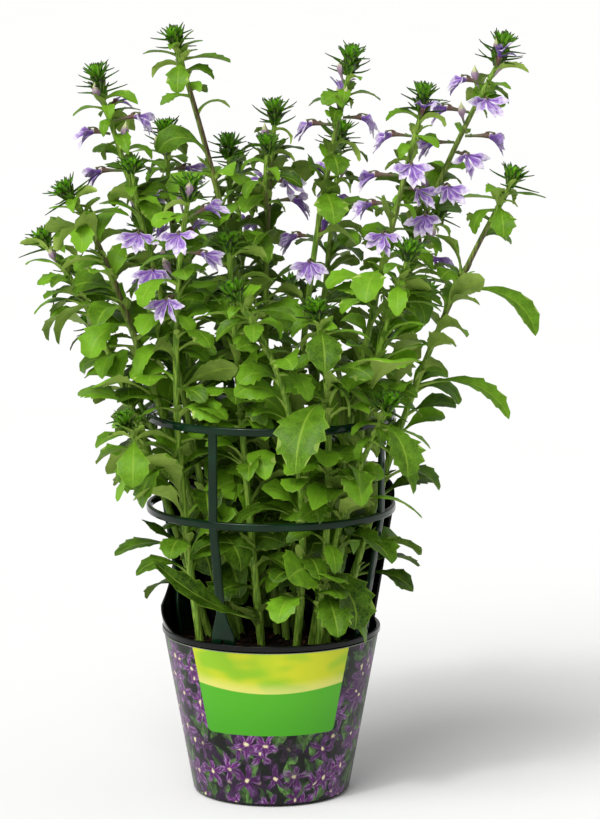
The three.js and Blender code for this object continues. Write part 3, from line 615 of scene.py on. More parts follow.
def lay_out(row, index):
    """A stem with its main shoot and its side shoots."""
    curve = Bend([*row["base"], STEM.root], row["via"], row["tip"])
    main = Sizes(
        curve=curve, tiers=row["tiers"], own=row.get("own", []), base=STEM.base, tip=STEM.tip,
        needle=NEEDLE.length, leaves=[],
    )
    shoots = [main]
    for side in row.get("shoots", []):
        shoots.append(Sizes(
            curve=Bend(curve.at(side["start"]), side["via"], side["tip"]), tiers=side["tiers"],
            own=side.get("own", []), base=STEM.shoot_base, tip=STEM.shoot_tip,
            needle=NEEDLE.shoot_length * NEEDLE.length, leaves=[],
        ))
    return Sizes(
        name=row["name"], node=row.get("joins", row["name"]), index=index, curve=curve, shoots=shoots,
        count=row["count"], reach=row["reach"], longest=row["longest"], blooms=row.get("blooms", []),
        buds=row.get("buds", []), dark=row.get("dark", 0), flowers=[],
    )


def grow(room):
    """Everything grows in turn, as its solids did: the shoots, the blooms, the stems' own leaves, then the
    leaves by rule, place by place over all stems. A leaf that fits nowhere is left out."""
    room.claim(holder_points(), HOLDER)
    stems = [lay_out(row, index) for index, row in enumerate(STEMS)]
    for stem in stems:
        for shoot in stem.shoots:
            room.claim(shoot_points(shoot), stem.node)
    for stem in stems:
        for i, (height, turn, tilt, tube) in enumerate(stem.blooms):
            flower = bloom_frame(stem, height, turn, tilt)
            flower.tube = tube
            room.claim(bloom_points(flower), f"{stem.name}_bloom_{i}")
            stem.flowers.append(flower)

    def keep(stem, shoot, wish, steps):
        leaf = fit_leaf(room, stem, wish, steps)
        if leaf:
            shoot.leaves.append(leaf)

    for stem in stems:
        for shoot in stem.shoots:
            for height, *values in shoot.own:
                share = shoot.curve.share_at(height)
                keep(stem, shoot, leaf_at(share, shoot.curve, *values), OWN_STEPS)
    random = stream(LEAF.seed)
    for place in range(max(stem.count for stem in stems)):
        for stem in stems:
            if place < stem.count:
                keep(stem, stem.shoots[0], ruled_leaf(stem, place, random), RULED_STEPS)
    return stems


# Surfaces: a surface holds points, faces with three or four corners, a place on the surface for each point
# (across and along, from 0 to 1), a shade for each point and its material's number
def ring_faces(rows, sides, loop=False):
    """Faces over rows of rings whose points run round the sides, counterclockwise seen from the last row.
    Point k of ring i is number i * sides + k. A pole closes each end, or the last ring joins the first."""
    k = np.arange(sides)
    after = (k + 1) % sides
    low = np.arange(rows if loop else rows - 1)[:, None] * sides
    high = (low + sides) % (rows * sides)
    quads = np.stack([low + k, low + after, high + after, high + k], -1).reshape(-1, 4)
    if loop:
        return quads, np.zeros((0, 3), int)
    first, top = rows * sides, (rows - 1) * sides
    start = np.stack([np.full(sides, first), after, k], -1)
    end = np.stack([np.full(sides, first + 1), k + top, after + top], -1)
    return quads, np.concatenate([start, end])


def repeated(faces, count, stride):
    """The same faces for each of a count of shapes, whose points follow each other."""
    return (faces[None] + stride * np.arange(count)[:, None, None]).reshape(-1, faces.shape[1])


def surface(points, quads, triangles, place, shade, material=0):
    shade = np.broadcast_to(np.asarray(shade, float), len(points))
    return Sizes(points=points, quads=quads, triangles=triangles, place=place, shade=shade, material=material)


def facing_out(shape):
    """Turns the faces round if the volume that they enclose comes out negative."""
    a, b, c = (shape.points[shape.quads[:, i]] for i in range(3))
    d = shape.points[shape.quads[:, 3]]
    volume = (np.cross(a, b) * c).sum() + (np.cross(a, c) * d).sum()
    a, b, c = (shape.points[shape.triangles[:, i]] for i in range(3))
    if volume + (np.cross(a, b) * c).sum() < 0:
        shape.quads, shape.triangles = shape.quads[:, ::-1], shape.triangles[:, ::-1]
    return shape


def capped(rings, place=None):
    """A surface over rings of points, with a pole in the middle of each end ring."""
    points = np.concatenate([rings.reshape(-1, 3), rings[[0, -1]].mean(1)])
    if place is None:
        place = np.full((len(points), 2), 0.5)
    return facing_out(surface(points, *ring_faces(len(rings), rings.shape[1]), place, 0.5))


def tube(path, radius, sides, ribs=0, rib_high=0.0, twist=0.0, shade=0.5, material=0, along=None):
    """A tube round a path: at each row a ring stands across the path's direction, or across the one that
    is given for all, and its radius swells and sinks by a cosine of the turn, which makes ribs. A pole
    closes each end."""
    rows = len(path)
    along = unit(np.gradient(path, axis=0)) if along is None else np.broadcast_to(along, path.shape)
    right, ahead = across_axes(along)
    turn = 2 * np.pi * np.arange(sides) / sides
    swirl = twist * np.linspace(0, 1, rows)[:, None]
    reach = np.broadcast_to(radius, rows)[:, None] * (1 + rib_high * np.cos(ribs * turn + swirl))
    rings = path[:, None] + reach[..., None] * (
        right[:, None] * np.cos(turn)[:, None] + ahead[:, None] * np.sin(turn)[:, None]
    )
    points = np.concatenate([rings.reshape(-1, 3), path[[0, -1]]])
    share = np.linspace(0, 1, rows)
    place = np.stack([np.tile(turn / (2 * np.pi), rows), np.repeat(share, sides)], -1)
    place = np.concatenate([place, [[0.5, 0], [0.5, 1]]])
    shade = np.broadcast_to(shade, rows)
    shade = np.concatenate([np.repeat(shade, sides), shade[[0, -1]]])
    return surface(points, *ring_faces(rows, sides), place, shade, material)


def turned(profile, sides, loop=False, start=0):
    """A turned surface: a profile of [radius, height] carried round the axis from a turn in degrees. An open
    profile starts and ends with a point on the axis, which becomes a pole."""
    profile = np.array(profile, float)
    rows = profile if loop else profile[1:-1]
    turn = start + 360 * np.arange(sides) / sides
    rings = polar(rows[:, :1], turn, rows[:, 1:])
    height = profile[:, 1]
    share = (height - height.min()) / max(np.ptp(height), 1e-6)
    share = share if loop else share[1:-1]
    place = np.stack(np.broadcast_arrays(turn / 360, share[:, None]), -1).reshape(-1, 2)
    points = rings.reshape(-1, 3)
    if not loop:
        ends = profile[[0, -1]]
        points = np.concatenate([points, np.stack([ends[:, 0], 0 * ends[:, 0], ends[:, 1]], -1)])
        place = np.concatenate([place, [[0.5, 0], [0.5, 1]]])
    return facing_out(surface(points, *ring_faces(len(rows), sides, loop), place, 0.5))


def rounded(corners, radius, steps=4, loop=False):
    """An outline whose corners are rounded: near each corner a quadratic curve leads from one side to the
    next. The radius is a number, or one for each corner."""
    corners = np.array(corners, float)
    radius = np.broadcast_to(radius, len(corners))
    share = np.linspace(0, 1, steps + 1)[:, None]
    points = []
    for i, corner in enumerate(corners):
        if not loop and i in (0, len(corners) - 1) or radius[i] == 0:
            points.append(corner[None])
            continue
        before, after = corners[i - 1], corners[(i + 1) % len(corners)]
        start, end = (corner + radius[i] * unit(other - corner) for other in (before, after))
        points.append((1 - share) ** 2 * start + 2 * share * (1 - share) * corner + share**2 * end)
    return np.concatenate(points)


# Blades: leaves, bracts and petals
class Form:
    """The rows and columns of a kind of blade. Rows lie at shares of its length, and the last ones may step
    out and back as teeth; columns run from one edge to the other, on both faces."""

    def __init__(self, base_rows, teeth, first_tooth, columns, last_row=0.97):
        peaks = first_tooth + (last_row - first_tooth) * (np.arange(teeth) + 0.8) / max(teeth, 1)
        starts = first_tooth + (last_row - first_tooth) * np.arange(teeth) / max(teeth, 1)
        base = np.linspace(0.02, first_tooth, base_rows, endpoint=teeth == 0)
        toothed = np.stack([starts, peaks], -1).ravel()
        self.shares = np.concatenate([base, toothed, [last_row]])
        self.tooth = np.concatenate([0 * base, np.tile([-1.0, 0.45], teeth), [0.0]])
        upper = np.array(columns, float)
        self.columns = np.concatenate([-upper, upper[1:-1]])
        self.upper = len(upper) - 1
        self.sides = len(self.columns)
        self.under = np.concatenate([np.zeros(len(upper)), np.ones(len(upper) - 2)])


LARGE = Form(base_rows=8, teeth=4, first_tooth=0.5, columns=[-1, -0.7, -0.35, -0.09, 0, 0.09, 0.35, 0.7, 1])
MIDDLE = Form(base_rows=6, teeth=3, first_tooth=0.52, columns=[-1, -0.5, 0, 0.5, 1])
SMALL = Form(base_rows=5, teeth=2, first_tooth=0.56, columns=[-1, -0.5, 0, 0.5, 1])
BRACT = Form(base_rows=4, teeth=0, first_tooth=0.82, columns=[-1, 0, 1], last_row=0.93)
PETAL = Form(
    base_rows=8, teeth=2, first_tooth=0.72, columns=[-1, -0.7, -0.35, 0, 0.35, 0.7, 1], last_row=0.96,
)
BLADE_VALUES = (
    "width", "peak", "power", "blunt", "tooth", "fold", "wave", "phase", "thick", "stalk", "curl",
)
# The waves of a blade's edges: how many, and how high on its two halves
WAVES = Sizes(count=1.7, left=-0.8, right=1)
# The midrib below a blade and its groove above, which narrow blades have less of
RIB = Sizes(spread=0.15, high=0.5, groove=0.25, full_width=14)
# How softly a blade folds at its midrib, and the share of it over which its stalk thins
SOFT_FOLD = 0.12
STALK_END = 0.3


def blade_rings(form, leaves):
    """The points of many blades of one form. Along each midrib a ring of columns goes over the upper face and
    back under the lower one. The half width is a sine of the share, raised so that it peaks at the leaf's
    peak, to one power on the foot's side and another on the tip's, and joined with the stalk's. The face
    rises from the midrib by the fold, its edges wave, and the midrib sinks above and stands out below."""
    values = (np.array([getattr(leaf, name) for leaf in leaves], float)[:, None] for name in BLADE_VALUES)
    wide, peak, power, blunt, tooth, fold, wave, phase, thick, stalk, curl = values
    shares = np.concatenate([[0], form.shares, [1]])
    stations = [midrib(leaf, shares) for leaf in leaves]
    point, side, face = (np.stack([station[i] for station in stations]) for i in range(3))
    columns = form.columns
    u = form.shares[None]
    swell = np.sin(np.pi * u ** (np.log(0.5) / np.log(peak))) ** np.where(u < peak, power, blunt)
    half = np.sqrt((wide / 2 * swell * (1 + tooth * form.tooth)) ** 2 + (stalk * (1 - u)) ** 2)
    half = half[..., None]
    reach = half * columns
    rise = fold[..., None] * (np.sqrt(reach**2 + (SOFT_FOLD * half) ** 2) - SOFT_FOLD * half)
    ripple = np.sin(2 * np.pi * WAVES.count * u + phase)[..., None]
    ripple = ripple * np.where(columns > 0, WAVES.right, WAVES.left)
    rise = rise + wave[..., None] * half * columns**2 * ripple * u[..., None]
    rise = rise - curl[..., None] * half * np.abs(columns) ** 3
    deep = (mix(thick + 2 * stalk, thick, np.clip(u / STALK_END, 0, 1)) / 2)[..., None]
    rib = np.exp(-((columns / RIB.spread) ** 2)) * (1 - u[..., None])
    body = np.sqrt(np.clip(1 - columns**2, 0, 1))
    groove = RIB.groove * rib * np.clip(wide / RIB.full_width, 0, 1)[..., None]
    rise = rise + np.where(form.under == 1, -deep * body - RIB.high * rib, deep * body - groove)
    inner = slice(1, -1)
    rings = point[:, inner, None] + side[:, inner, None] * reach[..., None]
    rings = rings + face[:, inner, None] * rise[..., None]
    return np.concatenate([rings.reshape(len(leaves), -1, 3), point[:, [0, -1]]], 1).reshape(-1, 3)


def blade_faces(form, count, materials):
    """The faces of blades of one form, whose points follow each other, and their materials: the first number
    is the upper face's and the second the lower one's."""
    rows, sides = len(form.shares), form.sides
    stride = rows * sides + 2
    quads, triangles = ring_faces(rows, sides)
    on_top = quads[:, 0] % sides < form.upper
    cap_columns = triangles[:, 1:] % sides
    over_seam = (cap_columns == 0).any(1) & (cap_columns == sides - 1).any(1)
    cap_on_top = (cap_columns.min(1) < form.upper) & ~over_seam
    made = []
    for quad_mask, cap_mask in ((on_top, cap_on_top), (~on_top, ~cap_on_top)):
        made.append((repeated(quads[quad_mask], count, stride), repeated(triangles[cap_mask], count, stride)))
    numbers = []
    for kind in (0, 1):
        for faces, material in zip(made, materials):
            numbers.append(np.full(len(faces[kind]), material))
    quads, triangles = (np.concatenate(faces) for faces in zip(*made))
    return quads, triangles, np.concatenate(numbers)


def blades(form, leaves, materials):
    """Many blades of one form as one surface."""
    across = np.tile((form.columns + 1) / 2, len(form.shares))
    along = np.repeat(form.shares, form.sides)
    place = np.stack([np.append(across, [0.5, 0.5]), np.append(along, [0, 1])], -1)
    shade = np.repeat([leaf.shade for leaf in leaves], len(place))
    quads, triangles, numbers = blade_faces(form, len(leaves), materials)
    points = blade_rings(form, leaves)
    return surface(points, quads, triangles, np.tile(place, (len(leaves), 1)), shade, numbers)


def moved(shape, origin, axes):
    """The surface with its own three directions laid along these axes, at an origin."""
    shape.points = np.asarray(origin) + shape.points @ np.asarray(axes)
    return shape


# Meshes
def unwrapped(places):
    """The places of faces' corners. Where a face spans a turn's seam, its low corners are one turn on."""
    across = places[..., 0]
    places[..., 0] += across < across.max(1, keepdims=True) - 0.5
    return places


def add_mesh(name, surfaces, materials, smooth_below=50):
    """Joins surfaces into one mesh object at the origin. Edges steeper than an angle in degrees stay
    sharp."""
    offsets = np.cumsum([0] + [len(shape.points) for shape in surfaces[:-1]])
    points = np.concatenate([shape.points for shape in surfaces])
    quads = np.concatenate([shape.quads + start for shape, start in zip(surfaces, offsets)])
    triangles = np.concatenate([shape.triangles + start for shape, start in zip(surfaces, offsets)])
    numbers = []
    for shape in surfaces:
        number = np.broadcast_to(shape.material, len(shape.quads) + len(shape.triangles))
        numbers.append((number[:len(shape.quads)], number[len(shape.quads):]))
    corners = np.concatenate([quads.ravel(), triangles.ravel()])
    totals = np.concatenate([np.full(len(quads), 4), np.full(len(triangles), 3)])
    mesh = bpy.data.meshes.new(name)
    mesh.vertices.add(len(points))
    mesh.vertices.foreach_set("co", (points * MM).astype(np.float32).ravel())
    mesh.loops.add(len(corners))
    mesh.loops.foreach_set("vertex_index", corners)
    mesh.polygons.add(len(totals))
    mesh.polygons.foreach_set("loop_start", np.cumsum(totals) - totals)
    mesh.polygons.foreach_set(
        "material_index", np.concatenate([a for a, _ in numbers] + [b for _, b in numbers]).astype(int)
    )
    place = np.concatenate([shape.place for shape in surfaces])
    places = np.concatenate([unwrapped(place[faces]).reshape(-1, 2) for faces in (quads, triangles)])
    mesh.uv_layers.new(name="Place").data.foreach_set("uv", places.astype(np.float32).ravel())
    shade = mesh.attributes.new("shade", "FLOAT", "POINT")
    shade.data.foreach_set("value", np.concatenate([shape.shade for shape in surfaces]).astype(np.float32))
    mesh.update(calc_edges=True)
    mesh.validate()
    mesh.shade_smooth()
    mesh.set_sharp_from_angle(angle=math.radians(smooth_below))
    for material in materials:
        mesh.materials.append(material)
    made = bpy.data.objects.new(name, mesh)
    bpy.context.scene.collection.objects.link(made)
    return made


def combine(made, others, operation):
    """Cuts closed surfaces out of a piece or joins them to it with one Boolean, and keeps the result as the
    piece's mesh."""
    knife = add_mesh("knife", others, list(made.data.materials))
    boolean = made.modifiers.new("Combine", "BOOLEAN")
    boolean.operation = operation
    boolean.solver = "EXACT"
    boolean.object = knife
    bpy.context.view_layer.update()
    result = bpy.data.meshes.new_from_object(made.evaluated_get(bpy.context.evaluated_depsgraph_get()))
    made.modifiers.clear()
    whole, made.data = made.data, result
    bpy.data.meshes.remove(whole)
    bpy.data.objects.remove(knife)


def even_shading(made):
    """Lets large flat faces lead the shading at their edges, so that they look flat."""
    weighted = made.modifiers.new("Even shading", "WEIGHTED_NORMAL")
    weighted.keep_sharp = True


def stand_for(made, slot, *nodes):
    """The piece rides on the part's one body and stands for its nodes."""
    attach(made, "root")
    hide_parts(*nodes)


# Materials
def linear(colour):
    """An sRGB hex colour as linear red, green and blue, with an alpha of 1."""
    channels = np.array([int(colour[i:i + 2], 16) for i in (1, 3, 5)]) / 255
    curve = np.where(channels <= 0.04045, channels / 12.92, ((channels + 0.055) / 1.055) ** 2.4)
    return (*curve.tolist(), 1.0)


# The nodes that many materials need, by a plain word: Blender's kind and its settings
KINDS = dict(
    blend=("Mix", dict(data_type="RGBA")),
    fade=("MapRange", dict(interpolation_type="SMOOTHSTEP")),
    product=("Math", dict(operation="MULTIPLY")),
    sum=("Math", dict(operation="ADD")),
    difference=("Math", dict(operation="SUBTRACT")),
)


def add(tree, kind, *values, inputs=None, **settings):
    """Adds a node with its settings. Its open inputs get the values in order, and others theirs by name. An
    input is a value, or it is linked: from a node's first open output, or from the output that a
    (node, output) pair names."""
    kind, usual = KINDS.get(kind, (kind, {}))
    made = tree.nodes.new("ShaderNode" + kind)
    for name, value in {**usual, **settings}.items():
        setattr(made, name, value)
    sockets = [socket for socket in made.inputs if socket.enabled]
    named = [(made.inputs[name], value) for name, value in (inputs or {}).items()]
    for socket, value in [*zip(sockets, values), *named]:
        if isinstance(value, bpy.types.Node):
            value = value, next(number for number, output in enumerate(value.outputs) if output.enabled)
        if isinstance(value, tuple) and isinstance(value[0], bpy.types.Node):
            tree.links.new(value[0].outputs[value[1]], socket)
        else:
            socket.default_value = value
    return made


def new_material(name):
    material = bpy.data.materials.new(name)
    material.use_nodes = True
    material.node_tree.nodes.clear()
    return material, material.node_tree


def finished(material, **inputs):
    """Ends a material with a shader that has these inputs."""
    tree = material.node_tree
    named = {name.replace("_", " "): value for name, value in inputs.items()}
    add(tree, "OutputMaterial", add(tree, "BsdfPrincipled", inputs=named))
    return material


def swing(tree, cloud, reach):
    """A cloud's swing about 0, this far to both sides."""
    return add(tree, "fade", cloud, 0.3, 0.7, -reach, reach)


def place_of(tree):
    """The place on the surface: across and along, from 0 to 1."""
    return add(tree, "SeparateXYZ", add(tree, "UVMap", uv_map="Place"))


def shade_of(tree):
    return add(tree, "Attribute", attribute_type="GEOMETRY", attribute_name="shade"), 2


def object_place(tree):
    return add(tree, "TexCoord"), 3


def per_metre(millimetres):
    """The scale of a pattern whose cells measure this much."""
    return 1 / (millimetres * MM)


def from_midrib(tree, place):
    """How far across from the midrib: 0 there and 1 at the edge."""
    signed = add(tree, "Math", place, 2.0, -1.0, operation="MULTIPLY_ADD")
    return add(tree, "Math", signed, operation="ABSOLUTE")


def moulded_plastic(name, colour, light, grain, roughness):
    """Injection-moulded polypropylene: a glossy skin with a faint spark-eroded grain from the mould, so its
    highlights are soft-edged streaks."""
    material, tree = new_material(name)
    spot = object_place(tree)
    grit = add(tree, "TexNoise", spot, per_metre(grain), 3.0)
    cloud = add(tree, "TexNoise", spot, per_metre(22), 2.0)
    gloss = add(tree, "fade", cloud, 0.35, 0.7, roughness, roughness + 0.12)
    bump = add(tree, "Bump", inputs={"Height": grit, "Strength": 0.12, "Distance": 0.1 * MM})
    tone = add(tree, "blend", add(tree, "fade", cloud, 0.4, 0.75), colour, light)
    return finished(
        material, Base_Color=tone, Roughness=gloss, Normal=bump, IOR=1.49, Specular_IOR_Level=0.22)


def potting_soil(look):
    """Peat potting soil: near-black crumbs, damp and rough, with a few lighter ones and reddish fibres."""
    material, tree = new_material("peat potting soil, crumbled")
    spot = object_place(tree)
    crumb = add(tree, "TexNoise", spot, per_metre(2.4), 6.0, 0.7)
    grain = add(tree, "TexVoronoi", inputs={"Vector": spot, "Scale": per_metre(0.9)})
    earth = add(tree, "blend", add(tree, "fade", crumb, 0.35, 0.72), look.dark, look.light)
    colour = add(tree, "blend", shade_of(tree), earth, look.fibre)
    bump = add(tree, "Bump", inputs={"Height": crumb, "Strength": 0.9, "Distance": 0.8 * MM})
    fine = {"Height": grain, "Strength": 0.5, "Distance": 0.3 * MM, "Normal": bump}
    bump = add(tree, "Bump", inputs=fine)
    return finished(material, Base_Color=colour, Roughness=0.95, Normal=bump, Specular_IOR_Level=0.1)


def leaf_skin(name, dark, light, vein, rough, vein_share):
    """The skin of a living leaf: a waxy film over a net of veins, so it has a soft broad sheen, a pale
    midrib, side veins that bow to the tip, and a faint net between them."""
    material, tree = new_material(name)
    place, shade, spot = place_of(tree), shade_of(tree), object_place(tree)
    aside = from_midrib(tree, place)
    midrib_line = add(tree, "fade", aside, 0.02, 0.09, 1.0, 0.0)
    bow = add(tree, "difference", add(tree, "product", (place, 1), 6.0), add(tree, "product", aside, 1.6))
    ladder = add(tree, "Math", bow, 0.5, operation="PINGPONG")
    side_line = add(
        tree, "product", add(tree, "fade", ladder, 0.0, 0.06, 1.0, 0.0),
        add(tree, "fade", aside, 0.1, 0.95, 0.6, 0.0),
    )
    mesh = {"Vector": spot, "Scale": per_metre(1.7)}
    net = add(tree, "TexVoronoi", inputs=mesh, feature="DISTANCE_TO_EDGE")
    net_line = add(tree, "fade", net, 0.0, 0.2, 0.24, 0.0)
    bold = add(tree, "Math", midrib_line, side_line, operation="MAXIMUM")
    lines = add(tree, "Math", bold, net_line, operation="MAXIMUM")
    cloud = add(tree, "TexNoise", spot, per_metre(6), 4.0, 0.65)
    # The shade attribute holds each leaf's random tone and the painted shade of its place in the plant
    tone = add(tree, "sum", shade, swing(tree, cloud, 0.15))
    skin = add(tree, "blend", tone, dark, light)
    edge = add(tree, "blend", add(tree, "fade", aside, 0.88, 1.0, 0.0, 0.25), skin, vein)
    colour = add(tree, "blend", add(tree, "product", lines, vein_share), edge, vein)
    height = add(tree, "difference", add(tree, "product", cloud, 0.5), lines)
    bump = add(tree, "Bump", inputs={"Height": height, "Strength": 0.3, "Distance": 0.2 * MM})
    gloss = add(tree, "fade", cloud, 0.3, 0.7, rough - 0.06, rough + 0.1)
    return finished(
        material, Base_Color=colour, Roughness=gloss, Normal=bump, IOR=1.43, Specular_IOR_Level=0.2)


def stem_skin(look):
    """A ribbed young stem: waxy yellow-green, with fine lines along it. Its upper part turns brown-purple,
    most on the side away from the key light, which is painted shade."""
    material, tree = new_material("ribbed green stem, grown")
    spot = object_place(tree)
    drawn = add(tree, "Mapping", inputs={"Vector": spot, "Scale": (1.0, 1.0, 0.06)}, vector_type="POINT")
    lines = add(tree, "TexNoise", drawn, per_metre(0.9), 3.0)
    young = add(tree, "blend", add(tree, "fade", lines, 0.35, 0.68), look.stem, look.stem_light)
    aged = add(tree, "blend", add(tree, "fade", lines, 0.35, 0.68), look.stem_dark, look.stem_brown)
    bump = add(tree, "Bump", inputs={"Height": lines, "Strength": 0.5, "Distance": 0.2 * MM})
    # Painted shade: the brown is strongest on the stem's side away from the key light, +X, and weakest on the
    # lit side
    side = add(tree, "Math", add(tree, "product", place_of(tree), 6.28), operation="COSINE")
    brown_and_painted_shade_side = add(tree, "product", shade_of(tree), add(tree, "fade", side, -0.9, 0.3, 0.3, 1.0))
    colour = add(tree, "blend", brown_and_painted_shade_side, young, aged)
    return finished(
        material, Base_Color=colour, Roughness=0.5, Normal=bump, IOR=1.43, Specular_IOR_Level=0.3)


def bract_skin(look):
    """Young bracts: bright thin green at the heart of a rosette, dark at its needles, with purple tips."""
    material, tree = new_material("rosette bracts, young growth")
    place, spot = place_of(tree), object_place(tree)
    cloud = add(tree, "TexNoise", spot, per_metre(3), 3.0)
    tone = add(tree, "sum", shade_of(tree), swing(tree, cloud, 0.15))
    green = add(tree, "blend", tone, look.bract_dark, look.bract_light)
    rib = add(
        tree, "blend", add(tree, "fade", from_midrib(tree, place), 0.0, 0.5, 0.35, 0.0), green, look.vein,
    )
    tip = add(tree, "blend", add(tree, "fade", (place, 1), 0.66, 0.95, 0.0, 0.85), rib, look.tip)
    return finished(material, Base_Color=tip, Roughness=0.48, IOR=1.43, Specular_IOR_Level=0.25)


def petal_skin(name, look, whiteness):
    """Petals: thin violet tissue that pales to its tip, with a darker line along the middle, fine streaks,
    pale edges and a pale yellow foot. Its soft matt sheen comes from the papery cells, and its underside
    stays darker."""
    material, tree = new_material(name)
    place, spot, shade = place_of(tree), object_place(tree), shade_of(tree)
    aside = from_midrib(tree, place)
    streaks = add(tree, "Math", add(tree, "product", (place, 0), 7.0), 0.5, operation="PINGPONG")
    cloud = add(tree, "TexNoise", spot, per_metre(2.5), 3.0)
    tone = add(tree, "sum", shade, swing(tree, cloud, 0.25))
    violet = add(tree, "blend", tone, look.petal, look.petal_light)
    streaked = add(tree, "blend", add(tree, "fade", streaks, 0.0, 0.2, 0.35, 0.0), violet, look.stripe)
    narrowed = add(tree, "fade", (place, 1), 0.5, 0.95, 1.0, 0.0)
    middle = add(tree, "product", add(tree, "fade", aside, 0.06, 0.22, 0.75, 0.0), narrowed)
    striped = add(tree, "blend", middle, streaked, look.stripe)
    mottled = add(tree, "sum", (place, 1), swing(tree, cloud, 0.15))
    pale = add(
        tree, "Math", add(tree, "fade", mottled, 0.45, 1.0), add(tree, "fade", aside, 0.6, 1.0, 0.0, 0.75),
        operation="MAXIMUM",
    )
    edged = add(tree, "blend", add(tree, "product", pale, whiteness), striped, look.edge)
    foot = add(tree, "blend", add(tree, "fade", (place, 1), 0.03, 0.13, 0.9, 0.0), edged, look.throat)
    bump = add(tree, "Bump", inputs={"Height": streaks, "Strength": 0.5, "Distance": 0.25 * MM})
    return finished(
        material, Base_Color=foot, Roughness=0.65, Normal=bump, IOR=1.4, Sheen_Weight=0.15,
        Specular_IOR_Level=0.25,
    )


def darker_petals(look):
    """The colours of the petals' underside: the violets of the streaks and the petals."""
    return Sizes(
        petal=look.stripe, petal_light=look.petal, stripe=look.stripe, edge=look.edge, throat=look.throat)


def bud_skin(look, bloom):
    """Buds: a green stalk, a mauve body where the folded petals show through, and a pale green tip. An
    opening bud's tube, whose shade is half, is purple-brown."""
    material, tree = new_material("buds, grown")
    place = place_of(tree)
    cloud = add(tree, "TexNoise", object_place(tree), per_metre(1.6), 3.0)
    along = add(tree, "sum", (place, 1), swing(tree, cloud, 0.08))
    body = add(tree, "blend", add(tree, "fade", along, 0.1, 0.5), bloom.tube_green, look.bud)
    tipped = add(tree, "blend", add(tree, "fade", along, 0.7, 0.92), body, look.bud_tip)
    tube_colour = add(tree, "blend", add(tree, "fade", along, 0.1, 0.7), bloom.tube_green, bloom.tube)
    colour = add(tree, "blend", add(tree, "fade", shade_of(tree), 0.2, 0.4), tipped, tube_colour)
    return finished(material, Base_Color=colour, Roughness=0.55, IOR=1.4, Specular_IOR_Level=0.3)


def bloom_tube_skin(look):
    """The bloom's tube and cup: green at its foot, purple-brown where the light reaches it."""
    material, tree = new_material("bloom tube, grown")
    cloud = add(tree, "TexNoise", object_place(tree), per_metre(2), 3.0)
    tone = add(tree, "sum", shade_of(tree), swing(tree, cloud, 0.2))
    colour = add(tree, "blend", tone, look.tube_green, look.tube)
    return finished(material, Base_Color=colour, Roughness=0.6)


def scattered(tree, spot, width, seed, randomness):
    """A scattered pattern's cells: the place in each cell, turned by a draw of its own, the place's turn
    round the centre, its radius, three draws, and how much the cell lies in a cluster."""
    shifted = add(tree, "VectorMath", spot, (seed, 0.4 * seed, 0.0), operation="ADD")
    pattern = {"Vector": shifted, "Scale": 1 / width, "Randomness": randomness}
    cells = add(tree, "TexVoronoi", inputs=pattern, voronoi_dimensions="2D")
    local = add(tree, "VectorMath", shifted, (cells, 2), operation="SUBTRACT")
    draw = add(tree, "SeparateXYZ", (cells, 1))
    turned_by = {"Vector": local, "Angle": add(tree, "product", draw, 6.28)}
    spun = add(tree, "VectorRotate", inputs=turned_by, rotation_type="Z_AXIS")
    arms = add(tree, "SeparateXYZ", spun)
    turn = add(tree, "Math", (arms, 1), arms, operation="ARCTAN2")
    radius = add(tree, "VectorMath", spun, operation="LENGTH")
    crowd = add(tree, "TexNoise", (cells, 2), 0.05, 1.0)
    return arms, turn, radius, draw, add(tree, "fade", crowd, 0.4, 0.5)


def blossom_layer(tree, spot, width, look, seed, under):
    """A layer of printed blossoms over the colour under it: each one's edge swings in and out five times
    round its centre and is frayed by the streaks that run out along its petals."""
    _, turn, radius, draw, crowd = scattered(tree, spot, width, seed, 0.7)
    wave = add(tree, "Math", add(tree, "product", turn, 2.5), operation="COSINE")
    lobes = add(tree, "Math", add(tree, "Math", wave, operation="ABSOLUTE"), 1.2, operation="POWER")
    swell = add(tree, "Math", lobes, 0.44 * width, 0.08 * width, operation="MULTIPLY_ADD")
    reach = add(tree, "product", add(tree, "fade", (draw, 2), 0.0, 1.0, 0.7, 1.15), swell)
    share = add(tree, "Math", radius, reach, operation="DIVIDE")
    ray = add(tree, "CombineXYZ", add(tree, "product", turn, 5.0), share, (draw, 2))
    streak = add(tree, "TexNoise", ray, 1.3, 2.0)
    frayed = add(tree, "sum", share, add(tree, "fade", streak, 0.3, 0.7, -0.25, 0.2))
    drawn = add(tree, "product", crowd, add(tree, "fade", (draw, 1), 0.2, 0.22))
    shown = add(tree, "product", add(tree, "fade", frayed, 0.8, 1.05, 1.0, 0.0), drawn)
    petals = add(tree, "blend", add(tree, "fade", streak, 0.3, 0.7), look.blossom_dark, look.blossom)
    paler = add(
        tree, "product", add(tree, "fade", frayed, 0.45, 0.95),
        add(tree, "fade", streak, 0.4, 0.7, 0.15, 0.9),
    )
    rimmed = add(tree, "blend", paler, petals, look.blossom_light)
    shaded = add(tree, "blend", add(tree, "fade", draw, 0.3, 1.0, 0.0, 0.6), rimmed, look.blossom_dark)
    middle = add(tree, "sum", radius, swing(tree, streak, 0.02 * width))
    heart = add(
        tree, "blend", add(tree, "fade", middle, 0.04 * width, 0.08 * width, 0.85, 0.0), shaded, look.heart,
    )
    return add(tree, "blend", shown, under, heart)


